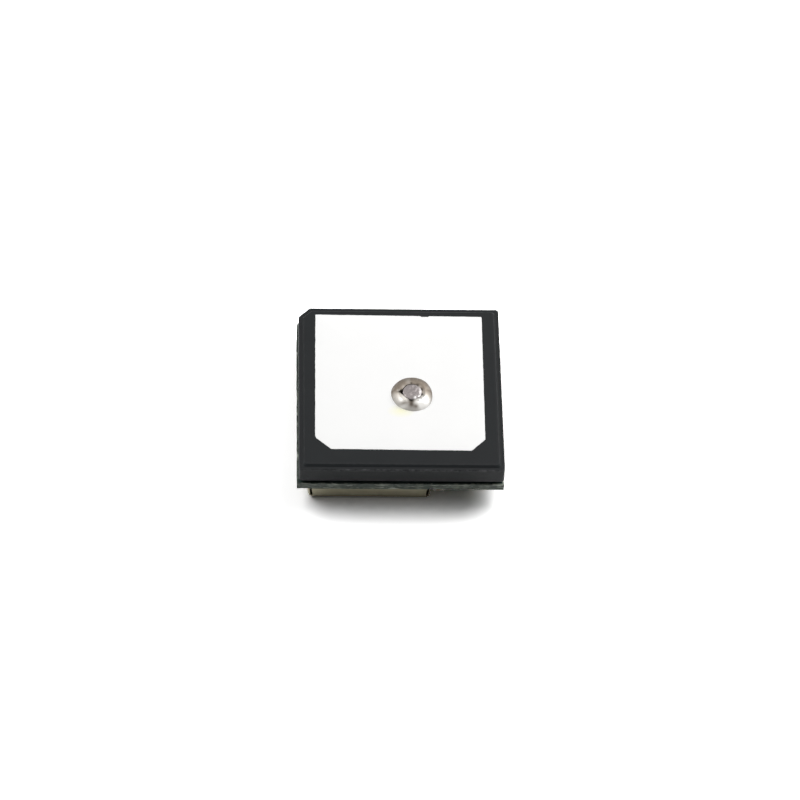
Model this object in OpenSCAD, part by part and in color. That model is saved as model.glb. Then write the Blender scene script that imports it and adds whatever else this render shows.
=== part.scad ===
// Satellite receiver module: ceramic patch antenna, circuit board and shield can, in millimetres.
// The module lies on its shield can, the antenna looks up, and the front edge faces -Y.

/* [Circuit board] */
// Margin of the board round the ceramic, left and right
side_margin = 0.1; // [0:0.05:2]
// Margin of the board round the ceramic, front and rear
end_margin = 0.1; // [0:0.05:2]
// Thickness of the board
board_t = 0.75; // [0.4:0.05:1.6]
// Radius of the board's marked corner, under the ceramic's cut corner
board_r = 0.7; // [0.4:0.1:2]
// Thickness of the tinned copper on the board
track_t = 0.04; // [0.02:0.01:0.1]

/* [Antenna ceramic] */
// Side of the square ceramic block
ceramic_w = 18; // [16.5:0.1:22]
// Thickness of the ceramic block
ceramic_t = 2; // [1.2:0.1:5]
// Block's offset from the board's centre, to the right
ceramic_dx = 0.07; // [-0.2:0.01:0.2]
// Block's offset from the board's centre, to the rear
ceramic_dy = -0.02; // [-0.2:0.01:0.2]
// Width of the flat land that the press leaves round each face
land_w = 0.32; // [0.15:0.01:0.4]
// Depth of the bevel from the face down to the land
bevel_h = 0.18; // [0.1:0.01:0.4]
// Run of the bevel across the face
bevel_run = 0.16; // [0.05:0.01:0.2]
// Leg of the cut at the marked corner
corner_cut = 1; // [0.5:0.1:1.6]
// Radius of the other corners
corner_r = 0.25; // [0.1:0.05:0.4]

/* [Silver films] */
// Thickness of the fired silver
film_t = 0.02; // [0.01:0.01:0.05]
// Width of the radiating patch
patch_w = 14.95; // [12:0.05:16]
// Depth of the radiating patch
patch_d = 14.99; // [12:0.05:15.5]
// Patch's offset from the block's centre, to the right
patch_dx = -0.08; // [-0.2:0.01:0.2]
// Patch's offset from the block's centre, to the rear
patch_dy = 0.57; // [0.2:0.01:0.8]
// Turn of the printed patch on the block, in degrees
patch_turn = -0.4; // [-1:0.1:1]
// Leg of the tuning cut at the patch's left front corner
cut_left = 1.41; // [0.5:0.01:2]
// Leg of the tuning cut at the patch's right front corner
cut_right = 1.23; // [0.5:0.01:2]
// Width of the small notch in the patch's rear edge
notch_w = 0.7; // [0.3:0.1:1]
// Depth of that notch
notch_d = 0.09; // [0.05:0.01:0.15]
// Notch's offset from the patch's centre, to the right
notch_dx = 2.35; // [1:0.05:4]
// Margin of the ground film inside the lower face
ground_margin = 0.2; // [0.1:0.05:0.5]
// Width of the bare ring round the feed hole in the ground film
ground_ring = 1; // [0.5:0.05:1.4]

/* [Feed] */
// Feed point's offset from the block's centre, to the right
feed_dx = 1.03; // [0.7:0.01:1.1]
// Feed point's offset from the block's centre, to the rear
feed_dy = -0.9; // [-1.4:0.01:-0.6]
// Diameter of the pin's shank
pin_d = 0.9; // [0.7:0.05:1.1]
// Gap between the pin and the holes it passes through
pin_gap = 0.15; // [0.1:0.01:0.2]
// Width of the head's flange beyond the shank
flange_w = 0.425; // [0.3:0.005:0.6]
// Height of the head's rim
head_h = 0.38; // [0.3:0.01:0.5]
// Rise of the head's crown above its rim
crown_h = 0.07; // [0.03:0.01:0.12]
// Length of the tail beyond its solder cone
tail_l = 0.1; // [0.05:0.01:0.2]
// Width of the solder collar round the head
collar_w = 0.96; // [0.7:0.01:1.2]
// Height of the collar's crest
collar_h = 0.45; // [0.35:0.01:0.55]
// Distance from the head to the collar's crest
crest_out = 0.28; // [0.15:0.01:0.45]
// Depth of the crease where the collar meets the head
crease_h = 0.1; // [0.05:0.01:0.15]
// Width of the solder cone round the pin under the board
cone_w = 0.4; // [0.3:0.01:0.5]
// Height of the solder cone under the board
cone_h = 0.4; // [0.3:0.05:0.5]

/* [Tape] */
// Thickness of the double-sided tape
tape_t = 0.13; // [0.05:0.01:0.3]
// Set-back of the tape from the block's wall
tape_inset = 0.5; // [0.3:0.05:0.8]
// Width of the open ring round the pin in the tape
tape_ring = 1; // [0.3:0.05:1.4]

/* [Shield can] */
// Width of the can, left to right
can_w = 11; // [10:0.05:12]
// Distance from the feed to the can's right wall
feed_clear = 1.7; // [1.4:0.05:2]
// Can's distance from the board's front and rear edges
can_inset = 0.15; // [0.12:0.01:0.4]
// Clear height under the can, from the board's face to the sheet
can_clear = 1.41; // [0.96:0.01:2]
// Thickness of the sheet
sheet_t = 0.15; // [0.1:0.01:0.25]
// Inner radius of the can's bends and corners
bend_r = 0.18; // [0.1:0.01:0.3]
// Width of the open slits at the corners
slit_w = 0.29; // [0.08:0.01:0.4]
// Height of the closed corner between the bend and its slit
slit_foot = 0.07; // [0.02:0.01:0.3]
// Margin of the soldering track beyond the can's wall
track_lip = 0.05; // [0.04:0.01:0.1]
// Width of the soldering track inside the can's wall
track_in = 0.3; // [0.1:0.05:0.4]

/* [Receiver and memory] */
// Space between the can's wall and the chips
wall_gap = 0.5; // [0.45:0.05:0.7]
// Space between the receiver chip and the capacitors beside it
chip_gap = 0.7; // [0.5:0.05:0.8]
// Free space in the can between its front wall and the power inductor
front_room = 2.1; // [1.6:0.1:2.6]
// Side of the receiver chip
receiver_w = 5; // [4:0.1:5.4]
// Height of the receiver chip
receiver_h = 0.75; // [0.5:0.05:0.9]
// Width of the flash memory
flash_w = 3; // [2:0.1:4]
// Depth of the flash memory
flash_d = 2; // [1.5:0.1:2.4]
// Height of the flash memory
flash_h = 0.55; // [0.4:0.05:0.8]
// Radius of the round dimple that marks a chip's first pin
dimple_r = 0.25; // [0.15:0.05:0.35]
// Depth of that dimple
dimple_h = 0.06; // [0.03:0.01:0.1]
// Distance from a chip's edges to its dimple
dimple_in = 0.3; // [0.2:0.05:0.4]

/* [Radio chips] */
// Width of the low-noise amplifier
amplifier_w = 1.5; // [1:0.1:1.6]
// Depth of the low-noise amplifier
amplifier_d = 1; // [0.8:0.1:1.4]
// Height of the low-noise amplifier
amplifier_h = 0.5; // [0.4:0.05:0.8]
// Width of the surface-wave filter
filter_w = 1.4; // [1:0.1:1.6]
// Depth of the surface-wave filter
filter_d = 1.1; // [0.9:0.1:1.4]
// Height of the surface-wave filter
filter_h = 0.6; // [0.4:0.05:0.8]

/* [Clocks] */
// Width of the oscillator
oscillator_w = 2.5; // [2:0.1:3.2]
// Depth of the oscillator
oscillator_d = 2; // [1.6:0.1:2.4]
// Width of the clock crystal
crystal_w = 3.2; // [2:0.1:3.6]
// Depth of the clock crystal
crystal_d = 1.5; // [1.2:0.1:1.8]
// Height of their ceramic bases
base_h = 0.45; // [0.3:0.05:0.55]
// Height of their metal lids
lid_h = 0.25; // [0.15:0.05:0.35]
// Margin of ceramic round their lids
lid_margin = 0.15; // [0.1:0.01:0.25]
// Corner radius of their lids
lid_r = 0.15; // [0.05:0.01:0.25]

/* [Small parts] */
// Length of a small chip part
small_l = 1; // [0.9:0.05:1.15]
// Width of a small chip part
small_w = 0.5; // [0.4:0.05:0.6]
// Height of a small capacitor or coil
small_h = 0.5; // [0.4:0.05:0.6]
// Height of a small resistor
resistor_h = 0.35; // [0.3:0.05:0.45]
// Length of a small part's end terminal
small_end = 0.27; // [0.2:0.01:0.3]
// Stand-out of an end terminal from the body
plating_t = 0.02; // [0.01:0.01:0.04]
// Space between small parts
row_gap = 0.5; // [0.35:0.05:0.55]
// Distance from the board's front edge to the part beside the can
edge_gap = 0.2; // [0.1:0.05:0.5]
// Space between the can's track and the parts beside it
strip_gap = 0.06; // [0.05:0.01:0.3]

/* [Power parts] */
// Length of the power inductor
inductor_l = 2; // [1.6:0.1:2.4]
// Width of the power inductor
inductor_w = 1.6; // [1.2:0.1:1.8]
// Height of the power inductor
inductor_h = 0.85; // [0.6:0.05:0.9]
// Length of the power inductor's end terminals
inductor_end = 0.45; // [0.3:0.05:0.6]
// Length of a supply capacitor
supply_l = 1.6; // [1.4:0.1:2]
// Width of a supply capacitor
supply_w = 0.8; // [0.7:0.05:1]
// Height of a supply capacitor
supply_h = 0.8; // [0.6:0.05:0.9]
// Length of a supply capacitor's end terminal
supply_end = 0.35; // [0.25:0.01:0.45]
// Space between the supply parts
supply_gap = 0.6; // [0.4:0.05:1]

/* [Regulator] */
// Length of the regulator's body
regulator_l = 2.9; // [2.6:0.1:3.2]
// Width of the regulator's body
regulator_w = 1.6; // [1.4:0.05:1.8]
// Height of the regulator's body
regulator_h = 0.85; // [0.6:0.05:0.9]
// Gap between the regulator's body and the board
regulator_lift = 0.05; // [0.02:0.01:0.1]
// Draft of the moulded body's sides
draft_w = 0.08; // [0.04:0.01:0.12]
// Distance between neighbouring leads
lead_pitch = 0.95; // [0.8:0.01:1]
// Width of a lead
lead_w = 0.4; // [0.3:0.05:0.5]
// Thickness of a lead
lead_t = 0.12; // [0.1:0.01:0.18]
// Length of a lead between the body and its upright
lead_reach = 0.25; // [0.15:0.01:0.3]
// Length of a lead's foot on the board
foot_l = 0.35; // [0.25:0.01:0.45]

/* [Wire pads] */
// Number of wire pads
pad_count = 6; // [3:1:7]
// Distance between neighbouring wire pads
pad_pitch = 2.5; // [1.9:0.1:2.8]
// Length of a wire pad
pad_l = 2; // [1:0.1:2.4]
// Width of a wire pad
pad_w = 1.4; // [0.8:0.1:1.7]
// Corner radius of a wire pad
pad_r = 0.2; // [0.05:0.05:0.35]
// Distance from the board's right edge to the wire pads
pad_inset = 0.3; // [0.2:0.05:0.6]

/* [Hidden] */
$fn = 48;
cut_through = 1;
curve_steps = 8;

// Heights of the stack, from the can's flat face up
can_h = sheet_t + can_clear - track_t;
board_z = can_h + track_t;
tape_z = board_z + board_t;
ceramic_z = tape_z + tape_t + film_t;
top_z = ceramic_z + ceramic_t;
patch_z = top_z + film_t;

// Board, antenna and feed
board_w = ceramic_w + 2 * side_margin;
board_d = ceramic_w + 2 * end_margin;
rim_w = ceramic_w - 2 * land_w;
face_w = rim_w - 2 * bevel_run;
ground_w = face_w - 2 * ground_margin;
tape_w = ceramic_w - 2 * tape_inset;
feed_x = ceramic_dx + feed_dx;
feed_y = ceramic_dy + feed_dy;
pin_r = pin_d / 2;
hole_r = pin_r + pin_gap;
head_r = pin_r + flange_w;
collar_r = head_r + collar_w;
crest_r = head_r + crest_out;
cone_r = pin_r + cone_w;

// Can and its soldering track
can_d = board_d - 2 * can_inset;
can_right = feed_x + feed_clear;
can_x = can_right - can_w / 2;
can_r = bend_r + sheet_t;
track_right = can_right + track_lip;
track_open = 2 * (sheet_t + track_in);

// Chip column along the can's left wall, from rear to front, with its free depth shared out in equal gaps
column = [crystal_d, oscillator_d, receiver_w, flash_d, inductor_w];
column_rear = can_d / 2 - sheet_t - wall_gap;
column_front = sheet_t + front_room - can_d / 2;
column_gap = (column_rear - column_front - depth_before(len(column))) / (len(column) - 1);
column_x = can_x - can_w / 2 + sheet_t + wall_gap + receiver_w / 2;
crystal_y = column_y(0);
oscillator_y = column_y(1);
receiver_y = column_y(2);
flash_y = column_y(3);
inductor_y = column_y(4);

// Depth of the first chips of the column together, and the place of each chip
function depth_before(i) = i == 0 ? 0 : column[i - 1] + depth_before(i - 1);
function column_y(i) = column_rear - depth_before(i) - i * column_gap - column[i] / 2;

// Radio row from the feed to the rear
coil_in_y = feed_y + cone_r + row_gap + small_w / 2;
amplifier_y = coil_in_y + small_w / 2 + row_gap + amplifier_d / 2;
coil_out_y = amplifier_y + amplifier_d / 2 + row_gap + small_w / 2;
filter_y = coil_out_y + small_w / 2 + row_gap + filter_d / 2;
filter_cap_y = filter_y + filter_d / 2 + row_gap + small_w / 2;
bias_y = feed_y - cone_r - row_gap - small_w / 2;

// Column of capacitors beside the receiver chip
middle_x = column_x + receiver_w / 2 + chip_gap + small_w / 2;
small_pitch = small_l + row_gap;
resistor_pitch = small_w + row_gap;

// Strip beside the can
lead_out = regulator_w / 2 + lead_reach;
lead_tip = lead_out + foot_l;
regulator_x = track_right + strip_gap + lead_tip;
regulator_y = board_d / 2 - supply_gap - regulator_l / 2;
supply_pitch = supply_w + supply_gap;
supply_y = regulator_y - regulator_l / 2 - supply_gap - supply_w / 2;
line_y = supply_y - supply_pitch - supply_w / 2 - supply_gap - small_w / 2;
edge_x = track_right + strip_gap + small_l / 2;
edge_y = edge_gap + small_w / 2 - board_d / 2;
pad_x = board_w / 2 - pad_inset - pad_l / 2;

// Places of the small parts: x, y and turn
middle_sites = [for (i = [-1.5:1.5]) [middle_x, receiver_y + i * small_pitch, 90]];
power_sites = [for (i = [-0.5:0.5]) [middle_x, inductor_y + i * small_pitch, 90]];
single_sites = [[feed_x, filter_cap_y, 0], [edge_x, edge_y, 0]];
capacitor_sites = concat(middle_sites, power_sites, single_sites);
coil_sites = [[feed_x, coil_in_y, 0], [feed_x, coil_out_y, 0]];
bias_sites = [for (i = [0:3]) [feed_x, bias_y - i * resistor_pitch, 0]];
line_sites = [for (i = [0:1]) [regulator_x, line_y - i * resistor_pitch, 0]];
resistor_sites = concat(bias_sites, line_sites);
supply_sites = [for (i = [0:1]) [regulator_x, supply_y - i * supply_pitch, 0]];
inductor_sites = [[column_x, inductor_y, 0]];

// Colours, as they show
ceramic_colour = "#333536";
silver_colour = "#f4f4f2";
solder_colour = "#b8b2ac";
can_colour = "#a8a493";
board_colour = "#2f4a3c";
tape_colour = "#15181b";
gold_colour = "#d8b25a";
mould_colour = "#232427";
alumina_colour = "#cfc9bb";
capacitor_colour = "#a58a66";

// Rectangle with round corners, about its centre
module round_rect(w, d, r) {
    square([w, d - 2 * r], center = true);
    square([w - 2 * r, d], center = true);
    for (x = [-1, 1], y = [-1, 1])
        translate([x * (w / 2 - r), y * (d / 2 - r)])
            circle(r);
}

// Stands its children on the board's lower face, so that their +Z points down
module under_board(x, y, turn = 0) {
    translate([x, y, board_z])
        rotate(turn)
            mirror([0, 0, 1])
                children();
}

// Block about the Z axis, standing on the XY plane
module block(w, d, h) {
    translate([-w / 2, -d / 2, 0])
        cube([w, d, h]);
}

// Outline of the ceramic block at a given width, with its marked corner cut
module block_outline(w) {
    leg = corner_cut - (ceramic_w - w) / 2 * (2 - sqrt(2));
    difference() {
        round_rect(w, w, corner_r);
        translate([-w / 2, w / 2])
            rotate(45)
                square(leg * sqrt(2), center = true);
    }
}

// Raised face of the ceramic block, inside its land
module raised_face() {
    linear_extrude(bevel_h, scale = face_w / rim_w)
        block_outline(rim_w);
}

// Post with a round foot, the corner of a drawn can
module post(r, h) {
    foot = [for (a = [0:15:90]) [r * sin(a), r - r * cos(a)]];
    rotate_extrude($fn = 32)
        polygon(concat(foot, [[r, h], [0, h]]));
}

// Solid with round corners and a round lower edge
module tray(w, d, h, r) {
    hull()
        for (x = [-1, 1], y = [-1, 1])
            translate([x * (w / 2 - r), y * (d / 2 - r), 0])
                post(r, h);
}

// Slits between the can's end walls and its side walls
module corner_slits() {
    slit_z = can_r + slit_foot;
    for (x = [-1, 1], y = [-1, 1])
        translate([x * (can_w / 2 - sheet_t - slit_w / 2), y * can_d / 2, slit_z])
            block(slit_w, 2 * can_r, can_h);
}

module shield_can() {
    color(can_colour)
        translate([can_x, 0, 0])
            difference() {
                tray(can_w, can_d, can_h, can_r);
                translate([0, 0, sheet_t])
                    tray(can_w - 2 * sheet_t, can_d - 2 * sheet_t, can_h, bend_r);
                corner_slits();
            }
}

module ground_track() {
    color(solder_colour)
        translate([can_x, 0, can_h])
            linear_extrude(track_t)
                difference() {
                    round_rect(can_w + 2 * track_lip, can_d + 2 * track_lip, can_r);
                    round_rect(can_w - track_open, can_d - track_open, bend_r);
                }
}

// Outline of the board: three square corners, and a round one at the left rear
module board_outline() {
    x = board_w / 2;
    y = board_d / 2;
    polygon([[-x, -y], [x, -y], [x, y], [board_r - x, y], [-x, y - board_r]]);
    translate([board_r - x, y - board_r])
        circle(board_r);
}

module circuit_board() {
    color(board_colour)
        translate([0, 0, board_z])
            difference() {
                linear_extrude(board_t)
                    board_outline();
                translate([feed_x, feed_y, -cut_through])
                    cylinder(r = hole_r, h = board_t + 2 * cut_through);
            }
}

module wire_pads() {
    color(gold_colour)
        for (i = [0:pad_count - 1])
            under_board(pad_x, (i - (pad_count - 1) / 2) * pad_pitch)
                linear_extrude(track_t)
                    round_rect(pad_l, pad_w, pad_r);
}

module adhesive_tape() {
    color(tape_colour)
        translate([ceramic_dx, ceramic_dy, tape_z])
            linear_extrude(tape_t)
                difference() {
                    block_outline(tape_w);
                    translate([feed_dx, feed_dy])
                        circle(hole_r + tape_ring);
                }
}

module antenna_ceramic() {
    color(ceramic_colour)
        translate([ceramic_dx, ceramic_dy, ceramic_z])
            difference() {
                union() {
                    translate([0, 0, bevel_h])
                        linear_extrude(ceramic_t - 2 * bevel_h)
                            block_outline(ceramic_w);
                    translate([0, 0, ceramic_t - bevel_h])
                        raised_face();
                    translate([0, 0, bevel_h])
                        mirror([0, 0, 1])
                            raised_face();
                }
                translate([feed_dx, feed_dy, -cut_through])
                    cylinder(r = hole_r, h = ceramic_t + 2 * cut_through);
            }
}

module ground_electrode() {
    color(silver_colour)
        translate([ceramic_dx, ceramic_dy, ceramic_z - film_t])
            linear_extrude(film_t)
                difference() {
                    block_outline(ground_w);
                    translate([feed_dx, feed_dy])
                        circle(hole_r + ground_ring);
                }
}

// Outline of the radiating patch before its feed hole
module patch_outline() {
    x = patch_w / 2;
    y = patch_d / 2;
    left_cut = [[-x, cut_left - y], [cut_left - x, -y]];
    right_cut = [[x - cut_right, -y], [x, cut_right - y]];
    difference() {
        polygon(concat(left_cut, right_cut, [[x, y], [-x, y]]));
        translate([notch_dx - notch_w / 2, y - notch_d])
            square([notch_w, notch_d + cut_through]);
    }
}

module patch_electrode() {
    color(silver_colour)
        translate([ceramic_dx, ceramic_dy, top_z])
            linear_extrude(film_t)
                difference() {
                    rotate(patch_turn)
                        translate([patch_dx, patch_dy])
                            patch_outline();
                    translate([feed_dx, feed_dy])
                        circle(hole_r);
                }
}

// Pin turned in one piece: shank, flanged head and a low crown
module feed_pin() {
    foot_z = board_z - cone_h - tail_l - patch_z;
    shank = [[0, foot_z], [pin_r, foot_z], [pin_r, 0], [head_r, 0]];
    crown = [for (i = [curve_steps:-1:0]) let (u = i / curve_steps) [head_r * u, head_h + crown_h * (1 - u * u)]];
    color(solder_colour)
        translate([feed_x, feed_y, patch_z])
            rotate_extrude()
                polygon(concat(shank, crown));
}

// Solder collar: a crease at the head, a crest, and a quarter-elliptic fall to the patch
module feed_solder() {
    crease = [for (i = [0:curve_steps]) let (u = 1 - i / curve_steps)
        [crest_r - crest_out * u, collar_h - crease_h * u * u]];
    fall = [for (i = [1:curve_steps]) let (a = 90 * i / curve_steps)
        [crest_r + (collar_r - crest_r) * sin(a), collar_h * cos(a)]];
    color(solder_colour)
        translate([feed_x, feed_y, patch_z])
            rotate_extrude()
                polygon(concat([[head_r, 0]], crease, fall));
}

// Solder cone with a hollow flank, round the pin's tail
module pin_joint() {
    flank = [for (i = [0:curve_steps]) let (u = i / curve_steps) [pin_r + cone_w * pow(1 - u, 2), cone_h * u]];
    color(solder_colour)
        under_board(feed_x, feed_y)
            rotate_extrude()
                polygon(concat([[pin_r, 0]], flank));
}

// Moulded chip with a round dimple at its first pin
module marked_chip(w, d, h) {
    difference() {
        block(w, d, h);
        translate([dimple_in + dimple_r - w / 2, dimple_in + dimple_r - d / 2, h - dimple_h])
            cylinder(r = dimple_r, h = dimple_h + cut_through);
    }
}

module receiver_chip() {
    color(mould_colour)
        under_board(column_x, receiver_y)
            marked_chip(receiver_w, receiver_w, receiver_h);
}

module flash_chip() {
    color(mould_colour)
        under_board(column_x, flash_y)
            marked_chip(flash_w, flash_d, flash_h);
}

module amplifier_chip() {
    color(mould_colour)
        under_board(feed_x, amplifier_y)
            block(amplifier_w, amplifier_d, amplifier_h);
}

module saw_filter() {
    color(alumina_colour)
        under_board(feed_x, filter_y)
            block(filter_w, filter_d, filter_h);
}

// Metal lid on a ceramic base of the given width and depth
module lid(w, d) {
    translate([0, 0, base_h])
        linear_extrude(lid_h)
            round_rect(w - 2 * lid_margin, d - 2 * lid_margin, lid_r);
}

module oscillator_base() {
    color(alumina_colour)
        under_board(column_x, oscillator_y)
            block(oscillator_w, oscillator_d, base_h);
}

module oscillator_lid() {
    color(can_colour)
        under_board(column_x, oscillator_y)
            lid(oscillator_w, oscillator_d);
}

module crystal_base() {
    color(alumina_colour)
        under_board(column_x, crystal_y)
            block(crystal_w, crystal_d, base_h);
}

module crystal_lid() {
    color(can_colour)
        under_board(column_x, crystal_y)
            lid(crystal_w, crystal_d);
}

// Bodies of chip parts at the given sites, between their end terminals
module part_bodies(sites, l, w, h, end) {
    for (s = sites)
        under_board(s.x, s.y, s.z)
            translate([0, 0, plating_t])
                block(l - 2 * end, w - 2 * plating_t, h - 2 * plating_t);
}

// End terminals of chip parts at the given sites
module part_ends(sites, l, w, h, end) {
    for (s = sites, side = [-1, 1])
        under_board(s.x, s.y, s.z)
            translate([side * (l - end) / 2, 0, 0])
                block(end, w, h);
}

module power_inductor() {
    color(mould_colour)
        part_bodies(inductor_sites, inductor_l, inductor_w, inductor_h, inductor_end);
}

module power_inductor_ends() {
    color(solder_colour)
        part_ends(inductor_sites, inductor_l, inductor_w, inductor_h, inductor_end);
}

module capacitor_bodies() {
    color(capacitor_colour)
        part_bodies(capacitor_sites, small_l, small_w, small_h, small_end);
}

module capacitor_ends() {
    color(solder_colour)
        part_ends(capacitor_sites, small_l, small_w, small_h, small_end);
}

module resistor_bodies() {
    color(mould_colour)
        part_bodies(resistor_sites, small_l, small_w, resistor_h, small_end);
}

module resistor_ends() {
    color(solder_colour)
        part_ends(resistor_sites, small_l, small_w, resistor_h, small_end);
}

module coil_bodies() {
    color(alumina_colour)
        part_bodies(coil_sites, small_l, small_w, small_h, small_end);
}

module coil_ends() {
    color(solder_colour)
        part_ends(coil_sites, small_l, small_w, small_h, small_end);
}

module supply_capacitor_bodies() {
    color(capacitor_colour)
        part_bodies(supply_sites, supply_l, supply_w, supply_h, supply_end);
}

module supply_capacitor_ends() {
    color(solder_colour)
        part_ends(supply_sites, supply_l, supply_w, supply_h, supply_end);
}

// Side profile of the regulator's body: drafted flanks with a straight band at the leads
module drafted_profile(w) {
    x = w / 2;
    band_z = (regulator_h - lead_t) / 2;
    right = [[x - draft_w, 0], [x, band_z], [x, band_z + lead_t], [x - draft_w, regulator_h]];
    left = [for (i = [len(right) - 1:-1:0]) [-right[i].x, right[i].y]];
    polygon(concat(right, left));
}

module regulator_body() {
    color(mould_colour)
        under_board(regulator_x, regulator_y)
            translate([0, 0, regulator_lift])
                intersection() {
                    rotate([90, 0, 0])
                        linear_extrude(regulator_l, center = true)
                            drafted_profile(regulator_w);
                    rotate([90, 0, 90])
                        linear_extrude(regulator_w, center = true)
                            drafted_profile(regulator_l);
                }
}

// One bent lead: out of the body's side, down to the board and out along it
module lead() {
    side = regulator_w / 2;
    z = regulator_lift + (regulator_h - lead_t) / 2;
    arm = [[side, z], [side, z + lead_t], [lead_out + lead_t, z + lead_t]];
    foot = [[lead_out + lead_t, lead_t], [lead_tip, lead_t], [lead_tip, 0], [lead_out, 0], [lead_out, z]];
    translate([0, lead_w / 2, 0])
        rotate([90, 0, 0])
            linear_extrude(lead_w)
                polygon(concat(arm, foot));
}

module regulator_leads() {
    color(solder_colour)
        under_board(regulator_x, regulator_y) {
            for (i = [-1:1])
                translate([0, i * lead_pitch, 0])
                    lead();
            for (i = [-1, 1])
                translate([0, i * lead_pitch, 0])
                    mirror([1, 0, 0])
                        lead();
        }
}

shield_can();
ground_track();
circuit_board();
wire_pads();
adhesive_tape();
antenna_ceramic();
ground_electrode();
patch_electrode();
feed_pin();
feed_solder();
pin_joint();
receiver_chip();
flash_chip();
amplifier_chip();
saw_filter();
oscillator_base();
oscillator_lid();
crystal_base();
crystal_lid();
power_inductor();
power_inductor_ends();
capacitor_bodies();
capacitor_ends();
resistor_bodies();
resistor_ends();
coil_bodies();
coil_ends();
supply_capacitor_bodies();
supply_capacitor_ends();
regulator_body();
regulator_leads();
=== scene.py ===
# %% [markdown]
# # A satellite receiver module with a ceramic patch antenna
# The module is a sandwich: a folded shield can at the bottom, a thin circuit board, black tape, and a pressed
# ceramic block with a white silver patch and one soldered pin. The CAD model gives every piece its place.
# This lesson replaces the surfaces that the eye rests on with surfaces worked out in numpy, and gives every
# piece a finish of its own.

import bmesh
import bpy
import numpy as np
from mathutils import Matrix, Vector


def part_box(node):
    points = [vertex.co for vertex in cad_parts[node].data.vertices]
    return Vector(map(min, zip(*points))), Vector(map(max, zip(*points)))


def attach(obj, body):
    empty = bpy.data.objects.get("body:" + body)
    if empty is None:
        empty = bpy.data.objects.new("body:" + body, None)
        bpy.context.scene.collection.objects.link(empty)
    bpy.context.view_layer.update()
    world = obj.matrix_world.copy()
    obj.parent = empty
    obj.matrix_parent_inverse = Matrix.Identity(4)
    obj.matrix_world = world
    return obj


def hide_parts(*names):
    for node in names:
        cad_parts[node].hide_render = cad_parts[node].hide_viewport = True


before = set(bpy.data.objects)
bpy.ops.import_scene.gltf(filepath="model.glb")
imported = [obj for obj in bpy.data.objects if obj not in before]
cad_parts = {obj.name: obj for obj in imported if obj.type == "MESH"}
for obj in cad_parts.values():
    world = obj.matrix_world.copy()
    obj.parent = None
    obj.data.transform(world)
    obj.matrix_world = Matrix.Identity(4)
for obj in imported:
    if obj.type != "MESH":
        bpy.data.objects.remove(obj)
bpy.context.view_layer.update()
MM = 0.001
print("CAD nodes:", len(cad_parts))

# %% [markdown]
# ## Measuring
# Blender counts in metres, but a module this small is easier to think about in millimetres. All shapes below
# are worked out in millimetres and scaled once, when a mesh is made. The CAD boxes say where each piece lies,
# so that a new surface lands exactly on the solid that it stands for.

# %% Places of the main pieces


def corners(name):
    """Lowest and highest corner of a CAD node, in millimetres."""
    low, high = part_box(name)
    return np.array(low) / MM, np.array(high) / MM


block_low, block_high = corners("antenna_ceramic")
block_mid = (block_low + block_high) / 2
block_w = block_high[0] - block_low[0]
block_t = block_high[2] - block_low[2]
pin_low, pin_high = corners("feed_pin")
feed = (pin_low + pin_high)[:2] / 2
print("ceramic", np.round(block_high - block_low, 3), "feed at", np.round(feed, 3))

# %% [markdown]
# ## The camera
# The photograph was taken from the front, about 52 degrees up, with the camera turned and tilted by a few
# degrees. The numbers come from fitting the straight edges of the ceramic, the patch and the board. A long
# lens from 340 mm away keeps the sides almost parallel, as they are in the picture.

# %% Place the camera


def unit(vectors):
    """Vectors brought to length one."""
    return vectors / np.linalg.norm(vectors, axis=-1, keepdims=True)


elevation, yaw, roll = np.radians([52.449, -3.86, 3.519])
distance = 340.0
focal_px = 3836.0
picture_px = 800
sensor_w = 36
aim_shift = np.array([-0.0383, -1.1441])

back = np.array([np.sin(yaw) * np.cos(elevation), -np.cos(yaw) * np.cos(elevation), np.sin(elevation)])
level = np.array([np.cos(yaw), np.sin(yaw), 0.0])
rise = np.cross(back, level)
right = np.cos(roll) * level + np.sin(roll) * rise
above = np.cos(roll) * rise - np.sin(roll) * level
target = np.array([block_mid[0], block_mid[1], block_high[2]])
eye = target + back * distance
target = target + right * aim_shift[0] + above * aim_shift[1]
back = unit(eye - target)
right = unit(right - back * (right @ back))
above = np.cross(back, right)

camera_data = bpy.data.cameras.new("camera")
camera_data.sensor_width = sensor_w
camera_data.lens = focal_px * sensor_w / picture_px
camera_data.clip_start = 0.01
camera = bpy.data.objects.new("camera", camera_data)
camera.matrix_world = Matrix(np.column_stack([right, above, back, eye * MM]).tolist() + [[0, 0, 0, 1]])
bpy.context.scene.collection.objects.link(camera)
bpy.context.scene.camera = camera
bpy.context.scene.view_settings.view_transform = "Standard"
print("lens", round(camera_data.lens, 1), "mm, eye at", np.round(eye, 1))

# %% [markdown]
# ## Meshes from grids
# Nearly every surface here is a grid: rows run round the piece, and columns run along its profile. One
# function turns any such grid into a closed mesh. It joins neighbours into quads, merges points that fall
# together at a pole, and turns the faces outwards if the volume comes out negative. Blender's own tools could
# build each piece by hand, but a grid of numbers can be bent, dented and measured before it becomes a mesh.

# %% One function for every surface
same_point = 2e-4


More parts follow.
